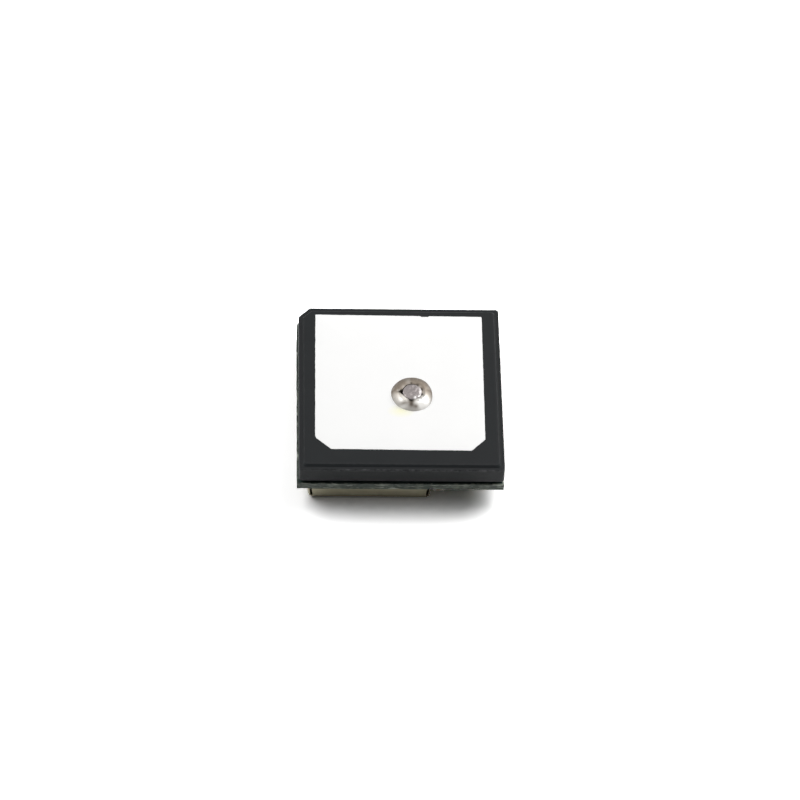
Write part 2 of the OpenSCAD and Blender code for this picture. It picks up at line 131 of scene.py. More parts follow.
def skin(name, grid, wrap=(True, True), sharp=40, **values):
    """Makes a mesh from a grid of points in millimetres, shaped (rows, columns, 3), or a stack of such grids.
    Each quad joins four neighbours, and a wrapped direction joins its last line to its first. Edges that turn
    by more than `sharp` degrees stay sharp. Named values, one for each point, become attributes that a material
    can read."""
    grid = grid.reshape((-1,) + grid.shape[-3:])
    index = np.arange(grid[..., 0].size).reshape(grid.shape[:3])
    for axis in (1, 2):
        if wrap[axis - 1]:
            index = np.concatenate([index, index.take([0], axis)], axis)
    quads = [index[:, :-1, :-1], index[:, 1:, :-1], index[:, 1:, 1:], index[:, :-1, 1:]]
    quads = np.stack(quads, -1).reshape(-1, 4)
    points = grid.reshape(-1, 3)
    a, b, c, d = np.moveaxis(points[quads], 1, 0)
    volume = np.sum(np.cross(a, b) * c + np.cross(a, c) * d) / 6
    if volume < 0:
        quads = quads[:, ::-1]
    mesh = bpy.data.meshes.new(name)
    mesh.from_pydata((points * MM).tolist(), [], quads.tolist())
    for key, value in values.items():
        layer = mesh.attributes.new(key, "FLOAT", "POINT")
        layer.data.foreach_set("value", np.broadcast_to(value, grid.shape[:3]).astype(np.float32).ravel())
    work = bmesh.new()
    work.from_mesh(mesh)
    bmesh.ops.remove_doubles(work, verts=work.verts, dist=same_point * MM)
    work.to_mesh(mesh)
    work.free()
    mesh.polygons.foreach_set("use_smooth", np.ones(len(mesh.polygons), bool))
    mesh.set_sharp_from_angle(angle=np.radians(sharp))
    print(f"{name}: {len(mesh.polygons)} faces, {abs(volume):.3f} cubic mm")
    return mesh


def place(mesh, slot, *nodes):
    """Puts a finished mesh on the module. It stands for the CAD nodes that it replaces."""
    piece = bpy.data.objects.new(mesh.name, mesh)
    bpy.context.scene.collection.objects.link(piece)
    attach(piece, "root")
    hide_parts(*nodes)
    return piece


print("points closer than", same_point, "mm become one")

# %% [markdown]
# ## Paths and noise
# The block, the patch, the board and the can are all outlines with rounded corners, so one path function
# serves them all, and it also rounds the edges of their profiles. Real edges are never quite straight. Smooth
# noise from a fixed table of random numbers moves points by hundredths of a millimetre, the same way each
# time the script runs.

# %% Rounded paths


def rounded_path(points, radii, counts, arc=6, closed=True):
    """Path through the given points with a round of its own radius at each, `arc` points to a round, and each
    straight cut into as many steps as `counts` gives. A round's centre lies a radius to the inner side of the
    line, and its arc swings from the way in to the way out. An open path keeps its two ends."""
    points = np.asarray(points, float)
    radii = np.broadcast_to(np.asarray(radii, float), len(points))
    way_in = unit(points - np.roll(points, 1, axis=0))
    way_out = np.roll(way_in, -1, axis=0)
    across = np.stack([-way_in[:, 1], way_in[:, 0]], 1)
    turn = np.arctan2((across * way_out).sum(1), (way_in * way_out).sum(1))
    if not closed:
        turn[[0, -1]] = 0
    side = across * np.sign(turn)[:, None]
    start = points - way_in * (radii * np.tan(np.abs(turn) / 2))[:, None]
    swing = np.linspace(0, 1, arc) * np.abs(turn)[:, None]
    sweep = side[:, None] * (1 - np.cos(swing))[..., None] + way_in[:, None] * np.sin(swing)[..., None]
    rounds = start[:, None] + radii[:, None, None] * sweep
    counts = np.broadcast_to(counts, len(points))
    last = len(points) if closed else len(points) - 1
    pieces = []
    for i in range(len(points)):
        pieces.append(rounds[i])
        if i < last:
            share = np.arange(1, counts[i])[:, None] / counts[i]
            pieces.append(rounds[i, -1] + (rounds[(i + 1) % len(points), 0] - rounds[i, -1]) * share)
    path = np.concatenate(pieces)
    apart = np.linalg.norm(path - np.roll(path, 1, axis=0), axis=1) > 1e-6
    return path[apart] if closed else path[apart | (np.arange(len(path)) == 0)]


square = np.array([[-1, -1], [1, -1], [1, 1], [-1, 1]])
print("a square with round corners has", len(rounded_path(square, 0.2, 1)), "points")

# %% Smooth noise
lattice_n = 32
lattice = np.random.default_rng(18).random((lattice_n, lattice_n, lattice_n))
seed_step = np.array([3.7, 11.3, 5.9])


def noise(points, size, seed=0):
    """Smooth noise from -1 to 1 with lumps about `size` millimetres wide: random numbers on a lattice, mixed
    between the eight corners round each point with the weight 3t^2 - 2t^3."""
    scaled = np.asarray(points) / size + seed_step * (seed + 1)
    cell = np.floor(scaled).astype(int)
    share = scaled - cell
    share = share * share * (3 - 2 * share)
    total = np.zeros(scaled.shape[:-1])
    for corner in np.ndindex(2, 2, 2):
        weight = np.where(corner, share, 1 - share).prod(-1)
        i, j, k = np.moveaxis((cell + np.array(corner)) % lattice_n, -1, 0)
        total = total + weight * lattice[i, j, k]
    return 2 * total - 1


def raised(path, z):
    """Path in the plane as points in space at height z."""
    return np.concatenate([path, np.broadcast_to(z, path.shape[:-1])[..., None]], -1)


print("noise from", noise(np.random.default_rng(1).random((500, 3)) * 9, 1.0).min().round(2))

# %% [markdown]
# ## Finishes from nodes
# Each material is a small node tree. One function adds any node, sets it up, links it, and gives the socket
# that the next node reads. Colours are written as the sRGB hex values that one would pick by eye, and one
# function turns them into the linear values that Blender mixes.

# %% Colours, nodes and materials


def linear(colour):
    """Linear colour from sRGB hex digits."""
    srgb = np.array([int(colour[i:i + 2], 16) for i in (0, 2, 4)]) / 255
    value = np.where(srgb <= 0.04045, srgb / 12.92, ((srgb + 0.055) / 1.055) ** 2.4)
    return (*value.tolist(), 1.0)


def add(tree, kind, sockets=None, out=0, **settings):
    """Adds one node, applies its settings, fills its sockets with values or with links from other nodes, and
    gives the output that `out` names, if the node has any."""
    made = tree.nodes.new("ShaderNode" + kind)
    for key, value in settings.items():
        setattr(made, key, value)
    for key, value in (sockets or {}).items():
        if isinstance(value, bpy.types.NodeSocket):
            tree.links.new(value, made.inputs[key])
        else:
            made.inputs[key].default_value = value
    return made.outputs[out] if made.outputs else None


def blank(name):
    """Starts an empty material and gives it with its node tree."""
    material = bpy.data.materials.new(name)
    material.use_nodes = True
    material.node_tree.nodes.clear()
    print("finish:", name)
    return material, material.node_tree


def dress(material, *nodes):
    """Gives CAD nodes their material."""
    for name in nodes:
        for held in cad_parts[name].material_slots:
            held.material = material
    print(material.name, "on", len(nodes), "CAD nodes")


rgba = {"data_type": "RGBA", "out": 2}
print("mid grey is", np.round(linear("808080"), 3))

# %% [markdown]
# ## Floor and light
# The module lies on a white table between two soft lamps, behind it to the left and to the right, in a room
# that gives little light from the viewer's side. Each lamp clears the shadow of the other beside the module,
# and what is left is one soft shadow in front. To the camera and in mirrors the table and the room are whiter
# than to the light that bounces off them, as in an overexposed picture: the table comes out white everywhere
# but in that shadow.

# %% Floor


def shown(tree):
    """Socket that is 1 on rays from the camera, also by way of metal or glass, and 0 on bounced light."""
    rays = add(tree, "LightPath").node.outputs
    sees = add(tree, "Math", {0: rays["Is Camera Ray"], 1: rays["Is Glossy Ray"]}, operation="MAXIMUM")
    sees = add(tree, "Math", {0: sees, 1: rays["Is Transmission Ray"]}, operation="MAXIMUM")
    early = add(tree, "Math", {0: rays["Diffuse Depth"], 1: 0.5}, operation="LESS_THAN")
    return add(tree, "Math", {0: sees, 1: early}, operation="MULTIPLY")


floor_half = 900
floor_z = -0.01
lit_white = (0.9, 0.9, 0.9, 1)
seen_white = (2.15, 2.15, 2.15, 1)
sides = (-floor_half, floor_half)
floor_mesh = skin("floor", np.array([[[x, y, floor_z] for y in sides] for x in sides]), (False, False))
floor = bpy.data.objects.new("floor", floor_mesh)
bpy.context.scene.collection.objects.link(floor)

table, tree = blank("white table")
white = add(tree, "Mix", {0: shown(tree), 6: lit_white, 7: seen_white}, **rgba)
matte = add(tree, "BsdfDiffuse", {"Color": white})
add(tree, "OutputMaterial", {"Surface": matte})
floor_mesh.materials.append(table)

# %% Light
front_glow = 0.03
rear_glow = 0.25
to_rear = (0.1, 0.7, 0.7)
lamp_away = 300
lamp_size = 200
lamp_aim = Vector((0.0, -11.0, 0.0))

world = bpy.data.worlds.new("room")
world.use_nodes = True
tree = world.node_tree
tree.nodes.clear()
where = add(tree, "TexCoord", out="Generated")
behind = add(tree, "VectorMath", {0: where, 1: to_rear}, out="Value", operation="DOT_PRODUCT")
glow = add(tree, "MapRange", {0: behind, 1: 0.0, 2: 1.0, 3: front_glow, 4: rear_glow})
strength = add(tree, "Mix", {0: shown(tree), 2: glow, 3: 1.0})
sky = add(tree, "Background", {"Strength": strength})
add(tree, "OutputWorld", {"Surface": sky})
bpy.context.scene.world = world


def softbox(name, turn, lift, watts):
    """Square lamp that faces a point at the module's front edge. Its angles, in degrees, are the turn from
    straight behind and the lift above the table."""
    turn, lift = np.radians([turn, lift])
    way = Vector((np.sin(turn) * np.cos(lift), np.cos(turn) * np.cos(lift), np.sin(lift)))
    lamp_data = bpy.data.lights.new(name, "AREA")
    lamp_data.size = lamp_size * MM
    lamp_data.energy = watts
    lamp = bpy.data.objects.new(name, lamp_data)
    facing = way.to_track_quat("Z", "Y").to_matrix().to_4x4()
    lamp.matrix_world = Matrix.Translation((lamp_aim + way * lamp_away) * MM) @ facing
    bpy.context.scene.collection.objects.link(lamp)
    print(name, "at", [round(v * lamp_away) for v in way], "mm from the front edge")


softbox("left lamp", -56, 44.5, 0.5)
softbox("right lamp", 48.5, 39, 0.74)

# %% [markdown]
# ## The ceramic block
# Dielectric powder is pressed in a steel die and fired. The punches leave a raised face with a bevel and a
# flat land round it, above and below. The block is a profile carried round the outline of a square with one
# cut corner: from the feed hole over the face, down the bevel, across the land, down the wall, and back
# underneath. A cube with bevelled edges would have no land, and a carried profile draws every step of the
# edge at once.

# %% Block outline
land_w = 0.32
bevel_h = 0.18
bevel_run = 0.16
corner_cut = 1.0
corner_r = 0.25
hole_r = 0.6


def block_outline(width):
    """Outline of the block at a given width: straight sides, three round corners and a cut one."""
    half = width / 2
    leg = corner_cut - (block_w - width) / 2 * (2 - np.sqrt(2))
    points = [[-half, -half], [half, -half], [half, half], [leg - half, half], [-half, half - leg]]
    return rounded_path(points, [corner_r, corner_r, corner_r, 0.06, 0.06], [110, 110, 104, 8, 104])


def ring_to_hole(ring, hole, centre, shares):
    """Rings between a hole and an outline: each point goes straight outwards from the hole's edge."""
    edge = centre + hole * unit(ring - centre)
    return edge[None] + (ring - edge)[None] * np.asarray(shares)[:, None, None]


print("block outline:", len(block_outline(block_w)), "points")

# %% Block surface
face_in = land_w + bevel_run
profile = rounded_path(
    [[0.7, block_t], [face_in, block_t], [land_w, block_t - bevel_h], [0, block_t - bevel_h],
     [0, bevel_h], [land_w, bevel_h], [face_in, 0], [0.7, 0]],
    [0, 0.04, 0.04, 0.03, 0.03, 0.04, 0.04, 0], [1, 2, 3, 6, 3, 2, 1, 1], closed=False)
rings = np.stack([raised(block_outline(block_w - 2 * d), z) for d, z in profile])
feed_on_block = feed - block_mid[:2]
inner = ring_to_hole(rings[0, :, :2], hole_r, feed_on_block, [0, 0.02, 0.25, 0.5, 0.75])
rings = np.concatenate([raised(inner, block_t), rings, raised(inner[::-1], 0.0)])
print("block grid:", rings.shape)

# %% Chips and a painted highlight on the edges
chip_d = 0.03
front_y = -8.1
left_x = -7.6


def near(inset, height, reach):
    """Bell curve over the profile, highest at the given inset and height."""
    return np.exp(-((profile - [inset, height]) ** 2).sum(1) / reach ** 2)


# The edge weight bites real chips into the edges; on the front it also paints a pale line, a painted highlight,
# that fades to the left.
edge_rub_and_highlight = near(0, block_t - bevel_h, 0.07) + 0.15 * near(face_in, block_t, 0.05) + 0.4 * near(0, bevel_h, 0.07)
# The front bevel is painted lighter, as painted light that lifts its shade.
on_bevel = near(land_w + bevel_run / 2, block_t - bevel_h / 2, 0.1)
edge_wear_and_highlight = np.pad(edge_rub_and_highlight, len(inner))[:, None]
slope = np.pad(on_bevel, len(inner))[:, None]
chips = np.clip(noise(rings, 0.35, 1) - 0.25, 0, 1) * edge_wear_and_highlight
rings[..., :2] -= chip_d * chips[..., None] * unit(rings[..., :2])
in_front = np.clip((front_y - rings[..., 1]) / 0.3, 0.12, 1)
highlight_fade_left = np.clip((rings[..., 0] - left_x) / 1.2, 0.35, 1)
values = {"edge_wear_and_highlight": (edge_wear_and_highlight * in_front * highlight_fade_left)[None], "slope": (slope * in_front)[None]}
block_mesh = skin("ceramic_block", rings + [*block_mid[:2], block_low[2]], **values)
place(block_mesh, "pressed_ceramic", "antenna_ceramic")

# %% [markdown]
# Fired titanate ceramic is a dark, dense, matte stone. It gives the eye a soft grey sheen from the lamp, a
# fine grit, and small chips along its edges. A broken pale line along the front edge is a painted highlight,
# where the rounded edge would catch the light, and the front bevel is painted lighter, as painted light. The
# grit of the powder is a few hundredths of a millimetre, too fine for the picture, so it is drawn about 0.15 mm
# wide. The painted line reads an attribute of the mesh, because a texture alone would not know where the edge
# is.

# %% Pressed ceramic
pressed, tree = blank("pressed and fired titanate ceramic")
where = add(tree, "TexCoord", out="Object")
grit = add(tree, "TexNoise", {"Vector": where, "Scale": 1 / (0.15 * MM), "Detail": 3.0})
cloud = add(tree, "TexNoise", {"Vector": where, "Scale": 1 / (2.2 * MM), "Detail": 2.0})
# The pale line is a painted highlight along the front edge, broken up by noise.
edge_rub_and_highlight = add(tree, "Attribute", out="Fac", attribute_name="edge_wear_and_highlight")
speck = add(tree, "TexNoise", {"Vector": where, "Scale": 1 / (0.4 * MM), "Detail": 2.0})
speck = add(tree, "MapRange", {0: speck, 1: 0.38, 2: 0.7, 3: 0.0, 4: 0.65})
pale = add(tree, "Math", {0: edge_rub_and_highlight, 1: speck}, operation="MULTIPLY")
body = add(tree, "Mix", {0: cloud, 6: linear("17191b"), 7: linear("1e2122")}, **rgba)
# Painted light: the front bevel is mixed to a lighter grey to lift its shade.
bevel_lightening = add(tree, "Attribute", out="Fac", attribute_name="slope")
body = add(tree, "Mix", {0: bevel_lightening, 6: body, 7: linear("2c3032")}, **rgba)
body = add(tree, "Mix", {0: pale, 6: body, 7: linear("5c5c5e")}, **rgba)
dull = add(tree, "MapRange", {0: grit, 1: 0.3, 2: 0.7, 3: 0.42, 4: 0.56})
rough = add(tree, "Bump", {"Strength": 0.25, "Distance": 0.02 * MM, "Height": grit})
shader = add(tree, "BsdfPrincipled", {
    "Base Color": body, "Roughness": dull, "Specular IOR Level": 0.15, "Normal": rough})
add(tree, "OutputMaterial", {"Surface": shader})
block_mesh.materials.append(pressed)

# %% [markdown]
# ## The silver patch
# Silver paste is printed through a screen and fired on. The patch is a film of some 20 microns with two
# tuning cuts at its front corners and a small notch behind, printed slightly off centre and not quite square
# to the block. The mesh of the screen leaves the edge a little ragged, so noise moves the outline by up to
# two hundredths of a millimetre. The patch could be painted on the block with a texture, but a film with a
# real edge catches the light as the printed one does.

# %% Patch outline
patch_w = 14.95
patch_d = 14.99
patch_at = np.array([-0.08, 0.57])
patch_turn = np.radians(-0.4)
cut_left = 1.41
cut_right = 1.23
notch_at = 2.35
notch_w = 0.7
notch_d = 0.09
film_low, film_high = corners("patch_electrode")
film_t = film_high[2] - film_low[2]

x, y = patch_w / 2, patch_d / 2
notch_right = notch_at + notch_w / 2
notch_left = notch_at - notch_w / 2
points = [
    [-x, cut_left - y], [0.13 - x, cut_left - 0.27 - y], [cut_left - x, -y], [x - cut_right, -y],
    [x, cut_right - y], [x, y], [notch_right + 0.05, y], [notch_right - 0.05, y - notch_d],
    [notch_left + 0.05, y - notch_d], [notch_left - 0.05, y], [-x, y]]
radii = [0.08, 0.08, 0.08, 0.08, 0.08, 0.08, 0.07, 0.03, 0.03, 0.07, 0.08]
outline = rounded_path(points, radii, [3, 16, 100, 14, 110, 40, 2, 5, 2, 80, 110], arc=4) + patch_at
cosine, sine = np.cos(patch_turn), np.sin(patch_turn)
outline = outline @ np.array([[cosine, sine], [-sine, cosine]])
print("patch outline:", len(outline), "points")

# %% Patch surface
along = unit(np.roll(outline, -1, axis=0) - np.roll(outline, 1, axis=0))
inward = np.stack([-along[:, 1], along[:, 0]], 1)
ragged = 0.014 * noise(raised(outline, 0.0), 0.22, 2) + 0.010 * noise(raised(outline, 0.0), 0.6, 3)
outline = outline + inward * ragged[:, None]
edge = [(0.045, 1.0), (0.03, 0.95), (0.012, 0.75), (0.002, 0.4), (0.0, 0.0)]
rim = np.stack([raised(outline + inward * d, film_t * h) for d, h in edge])
inner = ring_to_hole(outline + inward * edge[0][0], hole_r, feed_on_block, [0, 0.15, 0.3, 0.6])
film = np.concatenate([raised(inner, film_t), rim, raised(inner[::-1], 0.0)])
film_mesh = skin("silver_patch", film + [*block_mid[:2], film_low[2]])
place(film_mesh, "fired_silver", "patch_electrode")

# %% [markdown]
# Fired silver is a white, matte metal: sintered flakes scatter the light almost as paper does, with only a
# weak gloss. Flux from the soldering has left a faint yellow stain on the side of the joint that faces the
# viewer's left. The flakes are a few thousandths of a millimetre, too fine to show, so they are drawn 0.12 mm
# wide.

# %% Fired silver
silver, tree = blank("fired silver film")
where = add(tree, "TexCoord", out="Object")
flake = add(tree, "TexNoise", {"Vector": where, "Scale": 1 / (0.12 * MM), "Detail": 3.0})
cloud = add(tree, "TexNoise", {"Vector": where, "Scale": 1 / (3.0 * MM), "Detail": 3.0})
stain_at = [(feed[0] - 1.0) * MM, (feed[1] - 1.75) * MM, film_high[2] * MM]
stain = add(tree, "Mapping", {"Vector": where, "Location": stain_at, "Scale": (1.3 * MM, 0.8 * MM, MM)},
            vector_type="TEXTURE")
stain = add(tree, "TexGradient", {"Vector": stain}, out="Fac", gradient_type="SPHERICAL")
stain = add(tree, "Math", {0: stain, 1: 0.8}, operation="MULTIPLY")
tone = add(tree, "Mix", {0: cloud, 6: linear("f8f8f7"), 7: linear("fcfcfb")}, **rgba)
tone = add(tree, "Mix", {0: stain, 6: tone, 7: linear("fcfad2")}, **rgba)
dull = add(tree, "MapRange", {0: flake, 1: 0.3, 2: 0.7, 3: 0.5, 4: 0.62})
rough = add(tree, "Bump", {"Strength": 0.15, "Distance": 0.01 * MM, "Height": flake})
shader = add(tree, "BsdfPrincipled", {
    "Base Color": tone, "Roughness": dull, "Metallic": 0.08, "Specular IOR Level": 0.25, "Normal": rough})
add(tree, "OutputMaterial", {"Surface": shader})
film_mesh.materials.append(silver)
dress(silver, "ground_electrode")

# %% [markdown]
# ## The feed pin
# A headed pin goes through the block and the board, slightly to the rear of the middle of its hole. Its head
# was pressed on a header and has a dull, dented top. It is a profile turned about its axis, with noise on the
# head alone. A Screw modifier could turn it too, but in numpy the dents can be added before the mesh is made.

# %% Pin surface
film_top = film_high[2]
seat = feed + np.array([0.0, 0.085])
shank_r = 0.45
head_r = (pin_high[0] - pin_low[0]) / 2
head_h = 0.38
crown_h = 0.07
turns = np.linspace(0, 2 * np.pi, 144, endpoint=False)
spokes = np.stack([np.cos(turns), np.sin(turns)], 1)


def turned(radii, heights, centre, base):
    """Surface of revolution: each radius and height becomes a ring about the upright axis through centre."""
    grid = np.empty((len(turns), np.shape(radii)[-1], 3))
    grid[..., :2] = spokes[:, None] * np.broadcast_to(radii, grid.shape[:2])[..., None] + centre
    grid[..., 2] = np.broadcast_to(heights, grid.shape[:2]) + base
    return grid


top = np.linspace(0, 0.93, 16)
head = np.stack([head_r * top, head_h + crown_h * (1 - top ** 2)], 1)
lip = np.array([[0.975, -0.035], [1.0, -0.10]]) * [head_r, 1] + [0, head_h]
foot = pin_low[2] - film_top
shank = np.array([[head_r, 0.0], [shank_r, 0.0], [shank_r, foot + 0.05], [shank_r - 0.05, foot], [0, foot]])
pin_profile = np.concatenate([head, lip, shank])
pin_grid = turned(pin_profile[:, 0], pin_profile[:, 1], seat, film_top)
dents = 0.022 * noise(pin_grid, 0.32, 4) + 0.012 * noise(pin_grid, 0.14, 5)
on_head = np.arange(len(pin_profile)) < len(head)
middle = dents[:, :1].mean()
fade = np.clip(top / 0.12, 0, 1)
pin_grid[:, on_head, 2] += dents[:, on_head] * fade + middle * (1 - fade)
print("dents up to", dents.max().round(3), "mm")

# %% Painted highlights on the head


def spots(points, places):
    """Sum of soft round spots near the feed. A place is x and y from it, width, depth and strength."""
    x, y, w, d, strength = np.array(places, float).T
    across = (points[..., :1] - feed[0] - x) / w
    deep = (points[..., 1:2] - feed[1] - y) / d
    return (strength * np.exp(-across ** 2 - deep ** 2)).sum(-1)


# Near-white spots at the front right of the head are painted highlights.
painted_glints = spots(pin_grid, [
    [0.24, -0.60, 0.11, 0.13, 1.2], [0.64, -0.42, 0.12, 0.13, 1.2], [0.7, 0.1, 0.06, 0.3, 0.6]])
pin_mesh = skin("pin", pin_grid, (True, False), sharp=50, bright=np.clip(painted_glints, 0, 1)[None])
place(pin_mesh, "pin_metal", "feed_pin")

# %% [markdown]
# ## The solder collar
# The iron left a collar of solder round the head: steep at its foot where it wets the silver, a rounded
# crest, and a crease against the head with a few dark pits. Its outline is nearly a circle, and noise makes
# the crest uneven. Three attributes go with it: dark flux in the pits, mixed with painted shade in the crease
# and along the foot; a duller skin that is painted darker on the rear half and in blotches at the front, as
# painted shade and painted reflection; and painted highlights in white. A fluid simulation could let the
# solder flow, but a turned profile takes no time and puts each pit where it is wanted.

# %% Collar surface
solder_low, solder_high = corners("feed_solder")
collar_r = (solder_high - solder_low)[0] / 2
collar_h = 0.45
crest_r = head_r + 0.28
crease_h = 0.10
inner_r = head_r - 0.01


def bumps(angles, widths, heights):
    """Sum of bell curves round the circle, at the given angles and widths in degrees."""
    apart = np.degrees(turns)[:, None] - np.asarray(angles)
    apart = (apart + 180) % 360 - 180
    return (np.asarray(heights) * np.exp(-(apart / np.asarray(widths)) ** 2)).sum(1)


pits = bumps([180, 54, 17, 344, 318, 94, 262], [15, 9, 9, 10, 11, 6, 13], [1.3, 0.5, 0.7, 0.7, 0.45, 0.4, 0.6])
u = np.linspace(0, 1, 14)
lean = np.linspace(0, np.pi / 2, 20)[1:]
crease_z = collar_h - (crease_h * 0.55 + 0.16 * pits[:, None]) * (1 - u) ** 2
crease_r = np.broadcast_to(inner_r + (crest_r - inner_r) * u, crease_z.shape)
fall_r = crest_r + (collar_r - crest_r) * np.sin(lean)
fall_z = collar_h * (1 - np.sin(lean) ** 1.7)
radii = np.concatenate([crease_r, np.broadcast_to(fall_r, (len(turns), len(lean)))], 1)
heights = np.concatenate([crease_z, np.broadcast_to(fall_z, (len(turns), len(lean)))], 1)
radii = np.concatenate([radii, np.full((len(turns), 1), inner_r)], 1)
heights = np.concatenate([heights, np.zeros((len(turns), 1))], 1)
collar = turned(radii, heights, seat - [0.035, 0.0], film_top)
lumps = 0.045 * noise(collar, 0.9, 6) + 0.026 * noise(collar, 0.4, 7)
collar[..., 2] += lumps * np.clip(heights / collar_h, 0, 1)
swells = [0.05, 0.035, 0.03, 0.015, 0.035, 0.085]
oval = 0.98 + bumps([60, 105, 165, 230, 275, 315], [30, 30, 25, 20, 20, 30], swells)
collar[..., :2] = seat + (collar[..., :2] - seat) * np.where(radii > crest_r, oval[:, None], 1)[..., None]
print("collar grid:", collar.shape)

# %% Flux and painted shade, dull skin and painted highlights
mottle = noise(collar, 0.45, 8)
# Dark flux in the crease pits, with painted shade in the crease, on the right and beside the head, painted
# reflection in blotches at the front, and a line of painted shade along the foot, strongest at the rear.
flux_and_painted_shade = pits[:, None] * np.exp(-((radii - head_r - 0.05) / 0.13) ** 2)
flux_and_painted_shade = flux_and_painted_shade + spots(collar, [
    [-1.02, 0.05, 0.14, 0.17, 1.0], [-1.2, 0.03, 0.2, 0.07, 0.6], [-0.10, -0.98, 0.27, 0.18, 0.65],
    [-0.10, -1.28, 0.20, 0.20, 0.45], [0.24, -1.42, 0.2, 0.14, 0.2],
    [1.0, -0.38, 0.09, 0.14, 0.5], [0.82, -0.68, 0.13, 0.09, 0.55], [0.52, -0.92, 0.16, 0.08, 0.5]])
rear = np.clip(0.5 + 0.35 * np.sin(turns) + 0.2 * np.cos(turns), 0.2, 1)[:, None]
flux_and_painted_shade = flux_and_painted_shade + 0.5 * rear * np.exp(-((radii - collar_r) / 0.08) ** 2)
# The rear half and the front blotches are painted darker, as painted shade and reflection; the same value also
# makes the skin duller.
dull_skin_and_painted_shade = 0.55 + 1.2 * (collar[..., 1] - feed[1] + 0.15) + 0.3 * mottle
dull_skin_and_painted_shade = np.clip(dull_skin_and_painted_shade, 0, 1) + spots(collar, [
    [-0.10, -0.98, 0.25, 0.22, 1.0], [-0.12, -1.32, 0.20, 0.20, 1.0], [0.28, -1.46, 0.24, 0.16, 1.0],
    [-0.75, -1.15, 0.30, 0.10, 0.8]])
# White spots at the front right and front left are painted highlights, one of them a painted glint.
frost = spots(collar, [
    [0.95, -1.12, 0.55, 0.55, 1.7], [-1.0, -0.80, 0.24, 0.20, 0.6], [-0.9, -1.42, 0.40, 0.18, 0.6]])
frost = frost * (1 - np.clip(dull_skin_and_painted_shade, 0, 1)) + 0.15 * mottle
values = {"flux_and_painted_shade": flux_and_painted_shade, "dull": dull_skin_and_painted_shade, "frost": frost}
values = {key: np.clip(value, 0, 1)[None] for key, value in values.items()}
collar_mesh = skin("solder_collar", collar, **values)
place(collar_mesh, "solder", "feed_solder")

# %% [markdown]
# Tin solder is a bright, liquid-looking metal where it froze last. A brownish grey, half-dull skin is painted
# on the rear half and in blotches at the front, as painted shade and painted reflection, and near-white spots
# are painted highlights. The attributes mix the bright metal, the dull, painted-dark skin, the painted
# highlights and the black flux with painted shade in the pits. The pin's head is dull and dented, with a few
# near-white painted highlights.

# %% Tin solder
solder, tree = blank("tin solder with flux residue")
where = add(tree, "TexCoord", out="Object")
grain = add(tree, "TexNoise", {"Vector": where, "Scale": 1 / (0.25 * MM), "Detail": 3.0})
# These attributes paint shade, reflection and highlights into the solder's colour.
dull_and_shade_mask = add(tree, "Attribute", out="Fac", attribute_name="dull")
flux_and_shade_mask = add(tree, "Attribute", out="Fac", attribute_name="flux_and_painted_shade")
frosted = add(tree, "Attribute", out="Fac", attribute_name="frost")
tone = add(tree, "Mix", {0: dull_and_shade_mask, 6: linear("aaa6a0"), 7: linear("786f65")}, **rgba)
tone = add(tree, "Mix", {0: frosted, 6: tone, 7: linear("f6f4f0")}, **rgba)
tone = add(tree, "Mix", {0: flux_and_shade_mask, 6: tone, 7: linear("1c1914")}, **rgba)
dull = add(tree, "MapRange", {0: dull_and_shade_mask, 1: 0.0, 2: 1.0, 3: 0.48, 4: 0.58})
metal = add(tree, "MapRange", {0: frosted, 1: 0.0, 2: 1.0, 3: 1.0, 4: 0.75})
rough = add(tree, "Bump", {"Strength": 0.2, "Distance": 0.03 * MM, "Height": grain})
shader = add(tree, "BsdfPrincipled", {
    "Base Color": tone, "Roughness": dull, "Metallic": metal, "Normal": rough})
add(tree, "OutputMaterial", {"Surface": shader})
collar_mesh.materials.append(solder)
dress(solder, "pin_joint")

# %% Pin metal
pin_metal, tree = blank("dull tinned brass")
where = add(tree, "TexCoord", out="Object")
dent = add(tree, "TexNoise", {"Vector": where, "Scale": 1 / (0.2 * MM), "Detail": 3.0})
# The attribute paints highlights on the head in a near-white, less metallic colour.
glint_mask = add(tree, "Attribute", out="Fac", attribute_name="bright")
tone = add(tree, "Mix", {0: dent, 6: linear("6e6867"), 7: linear("989190")}, **rgba)
tone = add(tree, "Mix", {0: glint_mask, 6: tone, 7: linear("f2f0ee")}, **rgba)
dull = add(tree, "MapRange", {0: dent, 1: 0.3, 2: 0.7, 3: 0.5, 4: 0.36})
metal = add(tree, "MapRange", {0: glint_mask, 1: 0.0, 2: 1.0, 3: 0.9, 4: 0.2})
rough = add(tree, "Bump", {"Strength": 0.5, "Distance": 0.03 * MM, "Height": dent})
shader = add(tree, "BsdfPrincipled", {
    "Base Color": tone, "Roughness": dull, "Metallic": metal, "Normal": rough})
add(tree, "OutputMaterial", {"Surface": shader})
pin_mesh.materials.append(pin_metal)

# %% [markdown]
# ## The circuit board
# The board is glass cloth and epoxy under a dark green mask, broken out of a panel, so its edge is rough and
# fibrous. It is the same kind of sweep as the block: round the outline, over the faces and down a wall of
# many rows, which noise bites into. An attribute marks the cut wall and a margin beside it, where no mask
# covers the laminate; the margin is partly a bare edge and partly painted light, drawn wide to lift the
# shaded strip of board under the block. A Displace modifier could roughen a box, but it would move the smooth
# faces as well as the edge.

# %% Board outline
board_low, board_high = corners("circuit_board")
board_mid = (board_low + board_high) / 2
board_size = board_high - board_low
board_t = board_size[2]


def board_outline(inset):
    """Outline of the board, set in by the given distance, with its corners just broken."""
    half = board_size[:2] / 2 - inset
    radii = [0.05, 0.05, 0.05, 0.7 - inset]
    return rounded_path(half * square, radii, [200, 200, 186, 186], arc=12)


print("board", np.round(board_size, 3), "with", len(board_outline(0)), "points round it")

